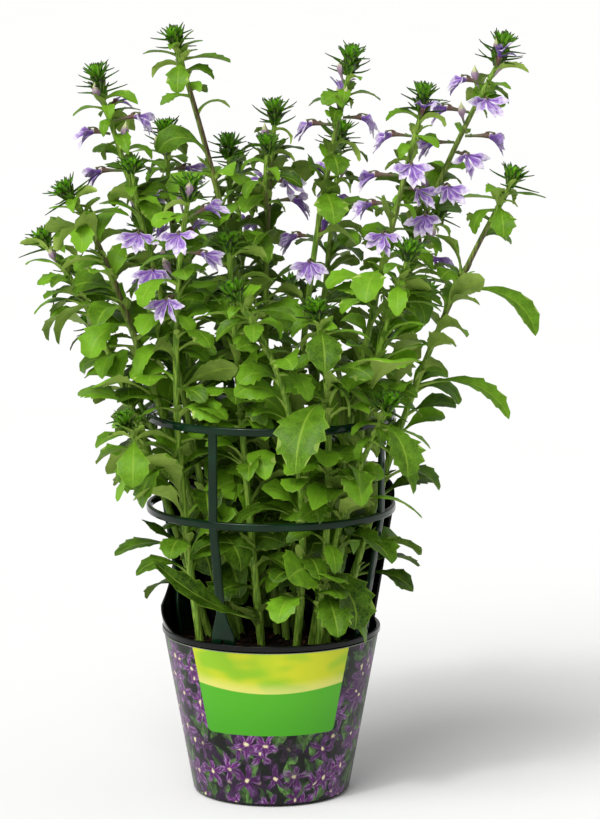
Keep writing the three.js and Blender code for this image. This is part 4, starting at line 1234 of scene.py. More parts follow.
def leaf_layer(tree, spot, width, look, seed, under):
    """A layer of printed leaves over the colour under it: one lens in each cell, its halves unlike."""
    arms, _, _, draw, _ = scattered(tree, spot, width, seed, 0.95)
    bulge = add(tree, "Math", add(tree, "product", (arms, 1), 3.1 / width), operation="COSINE")
    side = add(tree, "Math", add(tree, "Math", arms, operation="ABSOLUTE"), 0.2 * width, operation="DIVIDE")
    lens = add(tree, "fade", add(tree, "difference", bulge, side), 0.0, 0.2)
    inside = add(tree, "product", lens, add(tree, "fade", (draw, 1), 0.3, 0.32))
    grain = add(tree, "TexNoise", spot, 0.3, 3.0)
    tone = add(tree, "product", (draw, 2), add(tree, "fade", grain, 0.35, 0.65, 0.3, 1.2))
    green = add(tree, "blend", tone, look.leaf_dark, look.leaf_light)
    halved = add(tree, "blend", add(tree, "fade", arms, -0.3, 0.3, 0.0, 0.55), green, look.leaf_dark)
    ribbed = add(tree, "blend", add(tree, "fade", side, 0.0, 0.14, 0.5, 0.0), halved, look.leaf_light)
    return add(tree, "blend", inside, under, ribbed)


# The layers of printed leaves and blossoms: the width of their cells and the seed of their draws
LEAF_LAYERS = ((18, 5), (10, 44), (14, 31))
BLOSSOM_LAYERS = ((16, 12), (20, 80), (18, 63))
# The boundary on the blank panel: its dip in the middle, and the heights between which its edge turns sharply
# from green to lime, its glow dies away above it and the green below it lightens
BOUNDARY = Sizes(dip=3.0, edge=(68.0, 68.5), glow=(68.3, 76.0), lighter=(42.0, 64.0))


def panel_distance(tree, across, up, look):
    """How far a place lies beyond the blank panel's inner box, which ends a corner's radius inside it."""
    corner = look.panel_corner / MM
    middle = (look.panel_bottom / MM + WRAP.top + corner) / 2
    half_size = (look.panel_width / MM / 2 - corner, WRAP.top - middle, 0.0)
    tapered = add(tree, "product", across, add(tree, "Math", up, -0.0018, 1.12, operation="MULTIPLY_ADD"))
    from_middle = add(tree, "CombineXYZ", tapered, add(tree, "difference", up, middle))
    aside = add(tree, "VectorMath", from_middle, operation="ABSOLUTE")
    beyond = add(tree, "VectorMath", aside, half_size, operation="SUBTRACT")
    outside = add(tree, "VectorMath", beyond, (0, 0, 0), operation="MAXIMUM")
    return add(tree, "VectorMath", outside, operation="LENGTH")


def panel_colours(tree, across, up, flat, look):
    """The blank panel: green below a glowing boundary that dips in the middle, cloudy lime above it."""
    dip = add(tree, "Math", add(tree, "product", across, 0.045), operation="COSINE")
    level = add(tree, "Math", dip, BOUNDARY.dip, up, operation="MULTIPLY_ADD")
    low = add(tree, "blend", add(tree, "fade", up, *BOUNDARY.lighter), look.panel_green, look.panel_light)
    broad = {"Vector": flat, "Location": (7.0, 3.0, 0.0), "Scale": (0.5, 1.0, 1.0)}
    soft = add(tree, "TexNoise", add(tree, "Mapping", inputs=broad), 0.08, 1.0)
    high = add(tree, "blend", add(tree, "fade", soft, 0.42, 0.62), look.panel_lime, look.panel_cloud)
    shining = add(tree, "blend", add(tree, "fade", level, *BOUNDARY.glow, 0.75, 0.0), high, look.panel_glow)
    return add(tree, "blend", add(tree, "fade", level, *BOUNDARY.edge), low, shining)


def printed_film(look):
    """Printed plastic film: glossy lacquer over ink. The front holds a blank panel that fades from lime to
    green, and round it generic five-petal blossoms and leaves are scattered on dark green. Its cut edge
    along the top is pale."""
    material, tree = new_material("printed polypropylene film, lacquered")
    place = place_of(tree)
    middle_radius = pot_radius(POT.height / 2) + GAP
    across = add(tree, "product", add(tree, "difference", place, 0.75), 2 * math.pi * middle_radius)
    up = add(tree, "Math", (place, 1), WRAP.top - WRAP.bottom, WRAP.bottom, operation="MULTIPLY_ADD")
    flat = add(tree, "CombineXYZ", across, up)
    wobble = add(tree, "TexNoise", flat, 0.16, 2.0)
    shift = add(tree, "VectorMath", (wobble, 1), (-0.5, -0.5, -0.5), operation="ADD")
    spot = add(tree, "VectorMath", shift, (5.0, 5.0, 0.0), flat, operation="MULTIPLY_ADD")
    cloud = add(tree, "TexNoise", flat, 0.12, 5.0)
    haze = add(tree, "TexNoise", spot, 0.07, 2.0)
    foliage = add(tree, "blend", add(tree, "fade", cloud, 0.4, 0.7), look.ground, look.leaf_dark)
    ground = add(tree, "blend", add(tree, "fade", haze, 0.48, 0.62, 0.0, 0.7), foliage, look.blossom_dark)
    for width, seed in LEAF_LAYERS:
        ground = leaf_layer(tree, spot, width, look, seed, ground)
    for width, seed in BLOSSOM_LAYERS:
        ground = blossom_layer(tree, spot, width, look, seed, ground)
    corner = look.panel_corner / MM
    beyond = add(tree, "fade", panel_distance(tree, across, up, look), corner - 0.25, corner)
    printed = add(tree, "blend", beyond, panel_colours(tree, across, up, flat, look), ground)
    colour = add(
        tree, "blend", add(tree, "fade", up, WRAP.top - 0.4, WRAP.top - 0.25), printed, look.cut_edge,
    )
    return finished(
        material, Base_Color=colour, Roughness=0.35, IOR=1.49, Specular_IOR_Level=0.2, Coat_Weight=0.12,
        Coat_Roughness=0.15,
    )


# Settings
def colour_setting(name, description, colour):
    return bpy.props.FloatVectorProperty(
        name=name, description=description, default=linear(colour), size=4, min=0, max=1, subtype="COLOR"
    )


def length_setting(name, description, millimetres):
    return bpy.props.FloatProperty(
        name=name, description=description, default=millimetres * MM, min=0, subtype="DISTANCE", unit="LENGTH"
    )


def strength_setting(name, description, value):
    return bpy.props.FloatProperty(name=name, description=description, default=value, min=0)


class PotLook(bpy.types.PropertyGroup):
    colour: colour_setting("Plastic", "Colour of the pot's plastic", "#050606")
    light: colour_setting("Worn plastic", "Lighter clouds in the pot's plastic", "#0c0d0e")
    edge: length_setting("Edge", "Radius of the rounded edges of the rim and the raised wall", 0.6)


class WrapLook(bpy.types.PropertyGroup):
    ground: colour_setting("Ground", "Printed near-black green behind the blossoms", "#070b06")
    leaf_dark: colour_setting("Dark leaf", "Printed dark leaves", "#14260f")
    leaf_light: colour_setting("Light leaf", "Printed light leaves and their ribs", "#5c8740")
    blossom: colour_setting("Blossom", "Middle of the printed petals", "#77287f")
    blossom_light: colour_setting("Light blossom", "Rims of the printed petals", "#bd98cb")
    blossom_dark: colour_setting("Dark blossom", "Rays and feet of the printed petals", "#2e0b38")
    heart: colour_setting("Heart", "Centres of the printed blossoms", "#efe6b4")
    panel_green: colour_setting("Panel green", "Foot of the blank panel", "#459e1a")
    panel_light: colour_setting("Panel light green", "Blank panel below its boundary", "#50aa20")
    panel_lime: colour_setting("Panel lime", "Blank panel above its boundary", "#c6cd24")
    panel_cloud: colour_setting("Panel cloud", "Green clouds above the blank panel's boundary", "#8fbf22")
    panel_glow: colour_setting("Panel glow", "Pale yellow along the blank panel's boundary", "#dcd97c")
    cut_edge: colour_setting("Cut edge", "Cut edge of the film", "#8c9680")
    panel_width: length_setting("Panel width", "Width of the blank panel round the pot", 78)
    panel_bottom: length_setting("Panel bottom", "Height of the blank panel's lower edge", 41)
    panel_corner: length_setting("Panel corner", "Corner radius of the blank panel", 3)


class SoilLook(bpy.types.PropertyGroup):
    dark: colour_setting("Dark soil", "Damp dark crumbs", "#100b08")
    light: colour_setting("Light soil", "Drier crumbs", "#1f1610")
    fibre: colour_setting("Fibre", "Reddish fibres and lighter crumbs", "#523626")
    crumb: length_setting("Crumb", "Width of a common crumb", 1.7)


class CageLook(bpy.types.PropertyGroup):
    colour: colour_setting("Plastic", "Colour of the cage's plastic", "#06200f")
    light: colour_setting("Light plastic", "Lighter clouds in the cage's plastic", "#0c2e17")
    edge: length_setting("Edge", "Radius of the rounded edges of the rings and posts", 1.3)


class GrowthLook(bpy.types.PropertyGroup):
    leaf_dark: colour_setting("Dark leaf", "Upper face of shaded and old leaves", "#123100")
    leaf_light: colour_setting("Light leaf", "Upper face of young leaves in the light", "#70a420")
    under_dark: colour_setting("Dark underside", "Underside of dark leaves", "#3f5c1a")
    under_light: colour_setting("Light underside", "Underside of light leaves", "#a3bf58")
    vein: colour_setting("Vein", "Veins and edges of the leaves", "#9cbc40")
    stem: colour_setting("Stem", "Green of the stems", "#567d20")
    stem_light: colour_setting("Stem ribs", "Light ribs of the stems", "#95b544")
    # The brown of the upper stems, laid strongest on their side away from the key light as painted shade
    stem_dark: colour_setting("Dark stem", "Upper stems turned by the light", "#46342a")
    stem_brown: colour_setting("Brown stem", "Ribs of the turned stems", "#6e6240")
    bract_dark: colour_setting("Dark bract", "Needles and lower bracts of a rosette", "#183409")
    bract_light: colour_setting("Light bract", "Young bracts at a rosette's heart", "#6cb814")
    tip: colour_setting("Bract tip", "Purple tips of the bracts", "#2c1c26")
    bud: colour_setting("Bud", "Closed buds", "#9d8399")
    bud_tip: colour_setting("Bud tip", "Pale green tips of the closed buds", "#c3cb8c")
    leaf_thickness: length_setting("Leaf thickness", "Thickness of a blade", 0.5)


class BloomLook(bpy.types.PropertyGroup):
    petal: colour_setting("Petal", "Violet of the petals", "#875cb2")
    petal_light: colour_setting("Light petal", "Lighter clouds in the petals", "#ab88cf")
    stripe: colour_setting("Stripe", "Darker stripe and streaks", "#5c3493")
    edge: colour_setting("Petal edge", "Pale edges and tips", "#f1eaf5")
    throat: colour_setting("Throat", "Pale yellow foot of the petals", "#efe3b0")
    tube: colour_setting("Tube", "Purple-brown of the tube", "#694646")
    tube_green: colour_setting("Tube foot", "Green of the tube's foot and its cup", "#5d7a34")
    petal_width: length_setting("Petal width", "Width of a petal", 5.0)
    petal_thickness: length_setting("Petal thickness", "Thickness of a petal", 0.35)


class StageLook(bpy.types.PropertyGroup):
    floor: colour_setting("Floor", "Pale matt floor", "#f7f7f6")
    key: strength_setting("Key light", "Strength of the soft key light from the upper left", 2.3)
    glint: strength_setting("Glint light", "Strength of the small light that gives glints", 0.55)
    softness: bpy.props.FloatProperty(
        name="Softness", description="How wide the key light stands in the sky", default=math.radians(45),
        min=0, subtype="ANGLE", unit="ROTATION")
    world: strength_setting("Surroundings", "Strength of the even white surroundings", 0.45)


def settings_of(kind, name, description):
    return bpy.props.PointerProperty(type=kind, name=name, description=description)


class FanFlowerLooks(bpy.types.PropertyGroup):
    pot: settings_of(PotLook, "Pot", "Looks of the pot")
    wrap: settings_of(WrapLook, "Wrap", "Looks of the printed wrap")
    soil: settings_of(SoilLook, "Soil", "Looks of the soil")
    cage: settings_of(CageLook, "Cage", "Looks of the support cage")
    growth: settings_of(GrowthLook, "Growth", "Looks of stems and leaves")
    bloom: settings_of(BloomLook, "Blooms", "Looks of the blooms")
    stage: settings_of(StageLook, "Stage", "Floor and light")


# The pot and its wrap
def raised_wall(start, end, top_at, edge, columns):
    """A wall that stands on the rim between two turns: its section runs up the inside, over a round top edge
    and down the outside, and is carried round while its top follows a curve of the turn."""
    turns = np.linspace(start, end, columns)
    low = LIP_FOOT + LIP.slope
    section = rounded([[0, 0], [0, 1], [1, 1], [1, 0]], [0, 0.45, 0.45, 0], loop=True)
    tops = top_at(turns)[:, None]
    lift = section[:, 1]
    heights = np.where(lift > 0.5, tops - (1 - lift) * 2 * edge, low + lift)
    radii = back_radius(heights) - POT.wall * (1 - section[:, 0])
    place = np.stack(np.broadcast_arrays(turns[:, None] / 360, lift), -1).reshape(-1, 2)
    place = np.concatenate([place, [[start / 360, 0.5], [end / 360, 0.5]]])
    return capped(polar(radii, turns[:, None], heights), place)


class POTFLOWER_OT_pot(bpy.types.Operator):
    """Turns the pot with its lip and drain holes, and raises the wall and its shoulder on the rim"""

    bl_idname = "fan_flower.pot"
    bl_label = "Pot"

    FOOT_EDGE = 1.2
    SIDES = 160

    def execute(self, context):
        look = context.scene.fan_flower.pot
        edge = look.edge / MM
        outside = [
            [0, 0], [POT.foot, 0], [float(pot_radius(LIP_FOOT)), LIP_FOOT],
            [POT.rim, LIP_FOOT + LIP.slope], [POT.rim, POT.height],
        ]
        inside = [
            [float(inside_radius(POT.height)), POT.height], [float(inside_radius(POT.floor)), POT.floor],
            [0, POT.floor],
        ]
        edges = [0, self.FOOT_EDGE, edge / 2, edge / 2, edge, edge, self.FOOT_EDGE, 0]
        plastic = moulded_plastic(
            "black polypropylene, injection moulded", look.colour, look.light, grain=0.5, roughness=0.16)
        shell = turned(rounded(outside + inside, edges), self.SIDES)
        made = add_mesh("moulded_pot", [shell], [plastic], smooth_below=35)
        drains = []
        for turn in 90 * np.arange(DRAIN.count):
            path = np.array([[0, 0, -3.0], [0, 0, 5.0]]) + polar(DRAIN.ring, turn, 0)
            drains.append(facing_out(tube(path, DRAIN.radius, sides=24)))
        combine(made, drains, "DIFFERENCE")
        back = raised_wall(BACK_WALL.start, BACK_WALL.end, back_top, edge, columns=97)
        combine(made, [back], "UNION")
        start = BACK_WALL.end - SHOULDER.overlap
        combine(made, [raised_wall(start, SHOULDER_END, shoulder_top, edge, columns=57)], "UNION")
        even_shading(made)
        stand_for(made, "pot_plastic", "pot")
        return {"FINISHED"}


class POTFLOWER_OT_wrap(bpy.types.Operator):
    """Lays the printed film round the pot, with the lapped seam at its back"""

    bl_idname = "fan_flower.wrap"
    bl_label = "Printed wrap"

    LAP = Sizes(half=5.0, height=0.35)

    def execute(self, context):
        look = context.scene.fan_flower.wrap
        heights = np.linspace(WRAP.bottom, WRAP.top, 9)
        inner = pot_radius(heights) + GAP
        profile = np.concatenate([
            np.stack([inner + WRAP.thickness, heights], -1),
            np.stack([inner, heights], -1)[::-1],
        ])
        shape = turned(profile, sides=240, loop=True, start=90)
        from_seam = np.abs((shape.place[:, 0] * 360 - 90 + 180) % 360 - 180)
        lap = self.LAP.height * np.clip((self.LAP.half - from_seam) * 2, 0, 1)
        flat = np.linalg.norm(shape.points[:, :2], axis=1)
        outer = flat > pot_radius(shape.points[:, 2]) + GAP + WRAP.thickness / 2
        shape.points[:, :2] *= (1 + lap * outer / flat)[:, None]
        made = add_mesh("printed_film", [shape], [printed_film(look)], smooth_below=35)
        stand_for(made, "printed_film", "printed_wrap")
        return {"FINISHED"}


# Soil
SOIL_WAVES = Sizes(count=26, finest=1.6, broadest=14, high=0.16)


def ground(random):
    """The body of soil: rings go from its floor's edge up its side and inward over its top, whose height is
    a sum of slow waves and a draw for each point."""
    floor = POT.floor + GAP
    edge = float(inside_radius(SOIL.top)) - 2 * GAP
    radii = edge * np.linspace(1, 0.01, SOIL_RINGS)
    turn = 360 * np.arange(SOIL_SIDES) / SOIL_SIDES
    top = polar(radii[:, None], turn, 0 * turn)
    waves = np.zeros(top.shape[:2])
    for _ in range(SOIL_WAVES.count):
        across = random.normal(size=2) / random.uniform(SOIL_WAVES.finest, SOIL_WAVES.broadest)
        waves += np.sin(top[..., :2] @ across + random.uniform(0, 6.28)) * SOIL_WAVES.high
    top[..., 2] = SOIL.top + waves + random.normal(size=waves.shape) * SOIL_WAVES.high
    top[..., 2] += SOIL.bump / 3 * (1 - (radii[:, None] / edge) ** 2) - 0.5
    top[0, :, 2] = SOIL.top - SOIL.bump / 3
    side = [polar(inside_radius(z) - 2 * GAP, turn, z) for z in (floor, 30.0, 60.0)]
    rows = np.concatenate([np.stack(side), top])
    poles = np.array([[0, 0, floor], [0, 0, top[-1, :, 2].mean()]])
    points = np.concatenate([rows.reshape(-1, 3), poles])
    return surface(points, *ring_faces(len(rows), SOIL_SIDES), np.zeros((len(points), 2)), 0.0), top


def lumps(random, centres, sizes, shade):
    """Small crumbs: a ball of three rings and two poles, each squashed and dented by draws."""
    rows, sides, count = 3, 6, len(centres)
    tilt = np.radians([-50, 0, 50])
    turn = 2 * np.pi * np.arange(sides) / sides
    flat = np.cos(tilt)[:, None]
    ball = np.stack(np.broadcast_arrays(flat * np.cos(turn), flat * np.sin(turn), np.sin(tilt)[:, None]), -1)
    ball = np.concatenate([ball.reshape(-1, 3), [[0, 0, -1], [0, 0, 1]]])
    dents = random.uniform(0.7, 1.25, (count, len(ball), 1))
    squash = random.uniform(0.6, 1.2, (count, 1, 3))
    points = centres[:, None] + ball * dents * squash * (sizes / 2)[:, None, None]
    quads, triangles = ring_faces(rows, sides)
    return surface(
        points.reshape(-1, 3), repeated(quads, count, len(ball)), repeated(triangles, count, len(ball)),
        np.zeros((count * len(ball), 2)), np.repeat(shade, len(ball)),
    )


class POTFLOWER_OT_soil(bpy.types.Operator):
    """Heaps the potting soil, with crumbs and fibres on top"""

    bl_idname = "fan_flower.soil"
    bl_label = "Potting soil"

    CRUMBS = Sizes(count=700, spread=54)
    FIBRES = Sizes(count=90, spread=46)

    def execute(self, context):
        look = context.scene.fan_flower.soil
        random = np.random.default_rng(SEED.soil)
        draw = random.uniform
        count = self.CRUMBS.count
        body, top = ground(random)
        inner_rings = SOIL_SIDES, SOIL_SIDES * (SOIL_RINGS - 2)
        spots = top.reshape(-1, 3)[random.integers(*inner_rings, count)]
        sizes = look.crumb / MM * draw(0.5, 1.0, count) ** 2 * 1.9
        centres = spots + random.normal(size=spots.shape) * [0.8, 0.8, 0] + [0, 0, 0.2] * sizes[:, None]
        keep = np.linalg.norm(centres[:, :2], axis=1) < self.CRUMBS.spread
        shade = (random.random(count) > 0.93) * draw(0.3, 0.8, count)
        surfaces = [body, lumps(random, centres[keep], sizes[keep], shade[keep])]
        share = np.linspace(-0.5, 0.5, 6)[:, None]
        for spot in spots[:self.FIBRES.count]:
            if np.linalg.norm(spot[:2]) > self.FIBRES.spread:
                continue
            turn, length = draw(0, 360), draw(4, 12)
            path = spot + [0, 0, 0.7] + share * length * direction(turn, draw(-8, 12))
            path = path + (share**2 - 0.1) * length * draw(-0.7, 0.7) * direction(turn + 90, 0)
            surfaces.append(tube(path, draw(0.15, 0.3), 5, shade=0.9))
        made = add_mesh("potting_soil_heap", surfaces, [potting_soil(look)], smooth_below=80)
        stand_for(made, "potting_soil", "soil")
        return {"FINISHED"}


# Cage
class POTFLOWER_OT_cage(bpy.types.Operator):
    """Moulds the two rings and four posts of the support cage, with a small arched window in each foot"""

    bl_idname = "fan_flower.cage"
    bl_label = "Support cage"

    WINDOW_REACH = 6

    def ring(self, level, edge):
        section = rounded(SQUARE * [CAGE.thick / 2, CAGE.high / 2], edge, loop=True)
        return turned(section + [CAGE.radius, level], sides=192, loop=True)

    def post(self, turn, edge):
        flare = np.linspace(FOOT.top, FOOT.shoulder, 9)
        slim = np.linspace(FOOT.shoulder + 4, CAGE.top, 26)
        heights = np.concatenate([[FOOT.bottom], flare, slim])
        narrow = np.clip((heights - FOOT.top) / (FOOT.shoulder - FOOT.top), 0, 1)
        widths = mix(FOOT.width, POST.width, narrow * narrow * (3 - 2 * narrow))
        out, side = direction(turn, 0), direction(turn + 90, 0)
        rings = []
        for height, width in zip(heights, widths):
            section = rounded(SQUARE * [POST.thick / 2, width / 2], edge * 0.8, 3, loop=True)
            centre = out * post_radius(height) + [0, 0, height]
            rings.append(centre + section[:, :1] * out + section[:, 1:] * side)
        return capped(np.stack(rings))

    def window(self, turn):
        out, side = direction(turn, 0), direction(turn + 90, 0)
        half = FOOT_WINDOW.width / 2
        arch = [
            [half * math.cos(angle), FOOT_WINDOW.lintel - half + half * math.sin(angle)]
            for angle in np.radians(np.linspace(0, 180, 9))
        ]
        outline = np.array([[half, FOOT_WINDOW.sill], *arch, [-half, FOOT_WINDOW.sill]])
        rings = []
        for deep in (-self.WINDOW_REACH, self.WINDOW_REACH):
            radius = post_radius(FOOT_WINDOW.sill) + deep
            rings.append(out * radius + outline[:, :1] * side + outline[:, 1:] * np.array([0, 0, 1]))
        return capped(np.stack(rings))

    def execute(self, context):
        look = context.scene.fan_flower.cage
        edge = look.edge / MM
        surfaces = [self.ring(level, edge) for level in (CAGE.middle, CAGE.top)]
        surfaces += [self.post(turn, edge) for turn in POST_TURNS]
        plastic = moulded_plastic(
            "green polypropylene, injection moulded", look.colour, look.light, grain=0.6, roughness=0.1)
        made = add_mesh("moulded_cage", surfaces, [plastic], smooth_below=60)
        combine(made, [self.window(turn) for turn in POST_TURNS], "DIFFERENCE")
        even_shading(made)
        stand_for(made, "cage_plastic", "support_cage")
        return {"FINISHED"}


# Growth
@functools.cache
def plant():
    """The plant's stems and the room they fill, grown once."""
    room = Room()
    return grow(room), room


# The numbers of a stem piece's materials, for a blade's upper and lower face where there are two
SKIN = Sizes(stem=0, leaf=(1, 2), bract=(3, 3), bud=4, petal=(5, 6))
PLAIN_BLADE = dict(
    peak=0.5, power=1.0, blunt=0.9, tooth=0.0, fold=0.25, wave=0.0, phase=0.0, thick=0.5, stalk=0.4,
    shade=0.5, curl=0.0, sweep=0, roll=0,
)
PLAIN_BRACT = dict(droop=0, thick=0.45, stalk=0.25, peak=0.36, power=0.8, fold=0.5)


def blade(leaf, **details):
    """A leaf's midrib values with a blade's: where it is widest, how pointed it is, its teeth, fold, waves,
    thickness, stalk, shade and the curl of its edges."""
    return Sizes(**{**PLAIN_BLADE, **vars(leaf), **details})


def bract(radius, height, turn, rise, length, width, **details):
    leaf = Sizes(root=polar(radius, turn, height), turn=turn, rise=rise, length=length, width=width)
    return blade(leaf, **{**PLAIN_BRACT, **details})


# A rosette's height against its solid's, which stands taller than in the photo
SQUAT = 0.72
# The needles and broad bracts of a tier: how many, the turn between them and from tier to tier
TIER = Sizes(needles=3, needle_step=120, needle_twist=50, bracts=7, bract_step=51.4, bract_twist=26)
# The rings of a rosette's crown: how many bracts, their rise, length, width and shade
CROWN = ((8, 46, 8.8, 2.7, 0.42), (6, 60, 7.2, 3.4, 0.85), (5, 76, 5.4, 3.2, 1.0))


def rosette(shoot, random):
    """A spiky rosette: in each tier thin needles spread and broad bracts lie up against the core, and a crown
    of upright bracts closes round the heart. Everything is set round an upright axis and then laid along
    the shoot's own."""
    draw = random.uniform
    along = rosette_axis(shoot.curve)
    right, ahead = across_axes(along)
    size = shoot.needle / NEEDLE.length
    start = draw(0, 360)
    spacing = ROSETTE.spacing * SQUAT
    leaves = []
    for tier in range(shoot.tiers):
        rank, rise, reach = needle_reach(tier, shoot.tiers, shoot.needle)
        level = (tier + ROSETTE.first) * spacing
        neck = ROSETTE.neck * mix(1, ROSETTE.slim, tier / shoot.tiers)
        for k in range(TIER.needles):
            turn = start + TIER.needle_step * k + TIER.needle_twist * tier + draw(-20, 20)
            leaves.append(bract(
                neck * 0.5, level + draw(-1, 1), turn, 0.35 * rise + draw(-10, 12),
                (reach + neck) * draw(0.85, 1.22), draw(1.4, 2.3), droop=draw(-34, 8), sweep=draw(-18, 18),
                peak=0.42, shade=mix(0.1, 0.35, rank) + draw(-0.1, 0.15),
            ))
        for k in range(TIER.bracts):
            turn = start + TIER.bract_step * k + TIER.bract_twist * tier + draw(-8, 8)
            leaves.append(bract(
                neck, level + spacing * (k % 2) / 2 - 1.4, turn, mix(60, 70, rank) + draw(-9, 7),
                draw(6.8, 8.6) * mix(1, 0.45, rank) * size, mix(4.6, 3.2, rank) * draw(0.9, 1.1),
                droop=draw(-14, 14), power=0.6, blunt=0.75, shade=mix(0.05, 0.3, rank) + draw(-0.15, 0.2),
            ))
    top = (shoot.tiers + ROSETTE.crown) * spacing
    for ring, (count, rise, length, width, shade) in enumerate(CROWN):
        for k in range(count):
            leaves.append(bract(
                2.3 - 0.6 * ring, top - 6 + 1.1 * ring, start + 360 / count * k + 29 * ring + draw(-7, 7),
                rise + draw(-7, 7), length * size * draw(0.9, 1.08), width,
                droop=draw(-30, 10), power=0.6, blunt=0.85, shade=shade + draw(-0.06, 0.06),
            ))
    return moved(blades(BRACT, leaves, SKIN.bract), shoot.curve.at(1), np.stack([right, ahead, along]))


# The brown part of a stem, in millimetres below its tip, and how softly it starts and ends
BROWN = Sizes(start=14, start_fade=10, end=90, end_fade=30)


def shoot_tube(shoot, dark):
    """A ribbed stem and its rosette's core: the tube thins towards its tip, swells where leaves sit, and
    turns brown in a band below the rosette."""
    share = np.linspace(0, 1, 56)
    path = shoot.curve.at(share)
    radius = mix(shoot.base, shoot.tip, share) * 0.86
    span = np.linalg.norm(np.diff(path, axis=0), axis=1).sum()
    for leaf in shoot.leaves:
        radius = radius + 0.4 * np.exp(-(((share - leaf.share) * span / 2) ** 2))
    along = rosette_axis(shoot.curve)
    height = shoot.tiers * ROSETTE.spacing * SQUAT
    core = path[-1] + along * (height * np.linspace(0.12, 0.9, 8))[:, None]
    necks = ROSETTE.neck * np.linspace(1.2, ROSETTE.slim, 8) * [1, 1, 1, 1, 1, 1, 0.9, 0.4]
    path = np.concatenate([path, core])
    below = shoot.curve.end[2] - path[:, 2]
    started = np.clip((below - BROWN.start) / BROWN.start_fade, 0, 1)
    shade = dark * started * np.clip((BROWN.end - below) / BROWN.end_fade, 0, 1)
    return tube(
        path, np.concatenate([radius, necks]), sides=16, ribs=5, rib_high=0.07, twist=1.5, shade=shade,
        material=SKIN.stem,
    )


def bud_path(stem, height, turn, rise, length, lift, rows):
    """The shares and the points of a bud's path, which leaves its stem and rises by the lift to its tip."""
    share = np.linspace(0, 1, rows)
    start = stem.curve.at(stem.curve.share_at(height))
    return share, start + direction(turn, rise + lift * share) * (share * length)[:, None]


def bud(stem, height, turn, rise, random):
    """A closed bud on a short stalk: a spindle that swells before its tip."""
    share, path = bud_path(stem, height, turn, rise, random.uniform(14, 17), 25, 14)
    swell = 0.6 + 1.6 * np.exp(-(((share - 0.68) / 0.17) ** 2))
    radius = swell * np.clip(6 * (1.03 - share), 0.1, 1)
    return [tube(path, radius, sides=10, ribs=5, rib_high=0.12, twist=0.6, shade=0, material=SKIN.bud)]


def opening_bud(stem, height, turn, rise, random):
    """A bud that opens: a tube that widens upwards, and out of it four half-folded petals to one side."""
    draw = random.uniform
    share, path = bud_path(stem, height, turn, rise, draw(9, 12), 15, 12)
    radius = mix(0.7, 1.7, share**1.5) * np.where(share < 1, 1, 0.3)
    opened = tube(path, radius, sides=10, ribs=5, rib_high=0.1, twist=0.6, shade=0.5, material=SKIN.bud)
    petals = []
    for k in range(4):
        petal = Sizes(
            root=path[-3], turn=turn + 26 * (k - 1.5) + draw(-6, 6), rise=rise + draw(-26, 20),
            length=draw(11, 13.5), width=draw(3.6, 4.6), droop=draw(10, 80), roll=draw(-50, 50),
            sweep=draw(-20, 20),
        )
        petals.append(blade(
            petal, peak=0.6, power=1.3, blunt=1.1, fold=0.4, wave=0.3, phase=draw(0, 6.28), thick=0.3,
            stalk=0.9, shade=draw(0.2, 0.7), curl=0.1, tooth=0.14,
        ))
    return [opened, blades(PETAL, petals, SKIN.petal)]


# Beyond which lengths a leaf is large, long or the longest, and below which shares of its length its width
# is narrow or slender
KIND = Sizes(large=24, long=50, longest=90, narrow=0.42, slender=0.3)


def leaf_of_kind(leaf, random, shade, thickness):
    """Large leaves are widest past their middle with coarse teeth and a stalk, small ones are rounder, and
    narrow ones are pointed and folded. The longest one rolls its face out over the rim, and long narrow
    ones roll further than their solids."""
    draw = random.uniform
    large, narrow = leaf.length > KIND.large, leaf.width < KIND.narrow * leaf.length
    if leaf.length > KIND.longest:
        leaf.roll = -55
    elif leaf.length > KIND.long and leaf.width < KIND.slender * leaf.length:
        leaf.roll = 3 * leaf.roll
    return blade(
        leaf, peak=draw(0.6, 0.68) if large else draw(0.52, 0.6),
        power=draw(1.6, 2.1) if large else draw(1.0, 1.3),
        blunt=draw(0.8, 0.95) if narrow else draw(0.58, 0.78),
        tooth=draw(0.05, 0.2) if large or narrow else draw(0.0, 0.14),
        fold=draw(0.3, 0.6) if narrow else draw(0.1, 0.4),
        wave=draw(0.08, 0.26), phase=draw(0, 6.28), thick=thickness, stalk=0.9 if large else 0.6,
        # The leaf's painted shade from its place in the plant, with a random tone of its own
        curl=draw(-0.05, 0.3), shade=np.clip(shade + draw(-0.42, 0.42), 0, 1),
    )


# Leaves that only the looks have: how many on a main shoot and on a side shoot, and between which shares of
# it they sit. Their length goes from the foot's to the tip's, and varies like their rise and width
OUTER = Sizes(
    count=16, on_side=3, sits=(0.17, 0.9), length=(44, 23), varies=(0.7, 1.25), rise=(20, 75),
    wide=(0.34, 0.6),
)
INNER = Sizes(
    count=16, on_side=2, sits=(0.15, 0.8), length=(48, 22), varies=(0.75, 1.2), rise=(10, 75),
    wide=(0.38, 0.6),
)
# Small leaves under a rosette: how many, how far the first sits from the tip, and from one to the next
COLLAR = Sizes(count=8, first=3, spacing=3.6)
# How many more inner ones a stem has for each of its blooms
BY_BLOOM = 5
# How far two small leaves turn from the leaf in whose joint they sit, and their width as a share of length
JOINT = Sizes(sides=(-38, 34), wide=0.42)


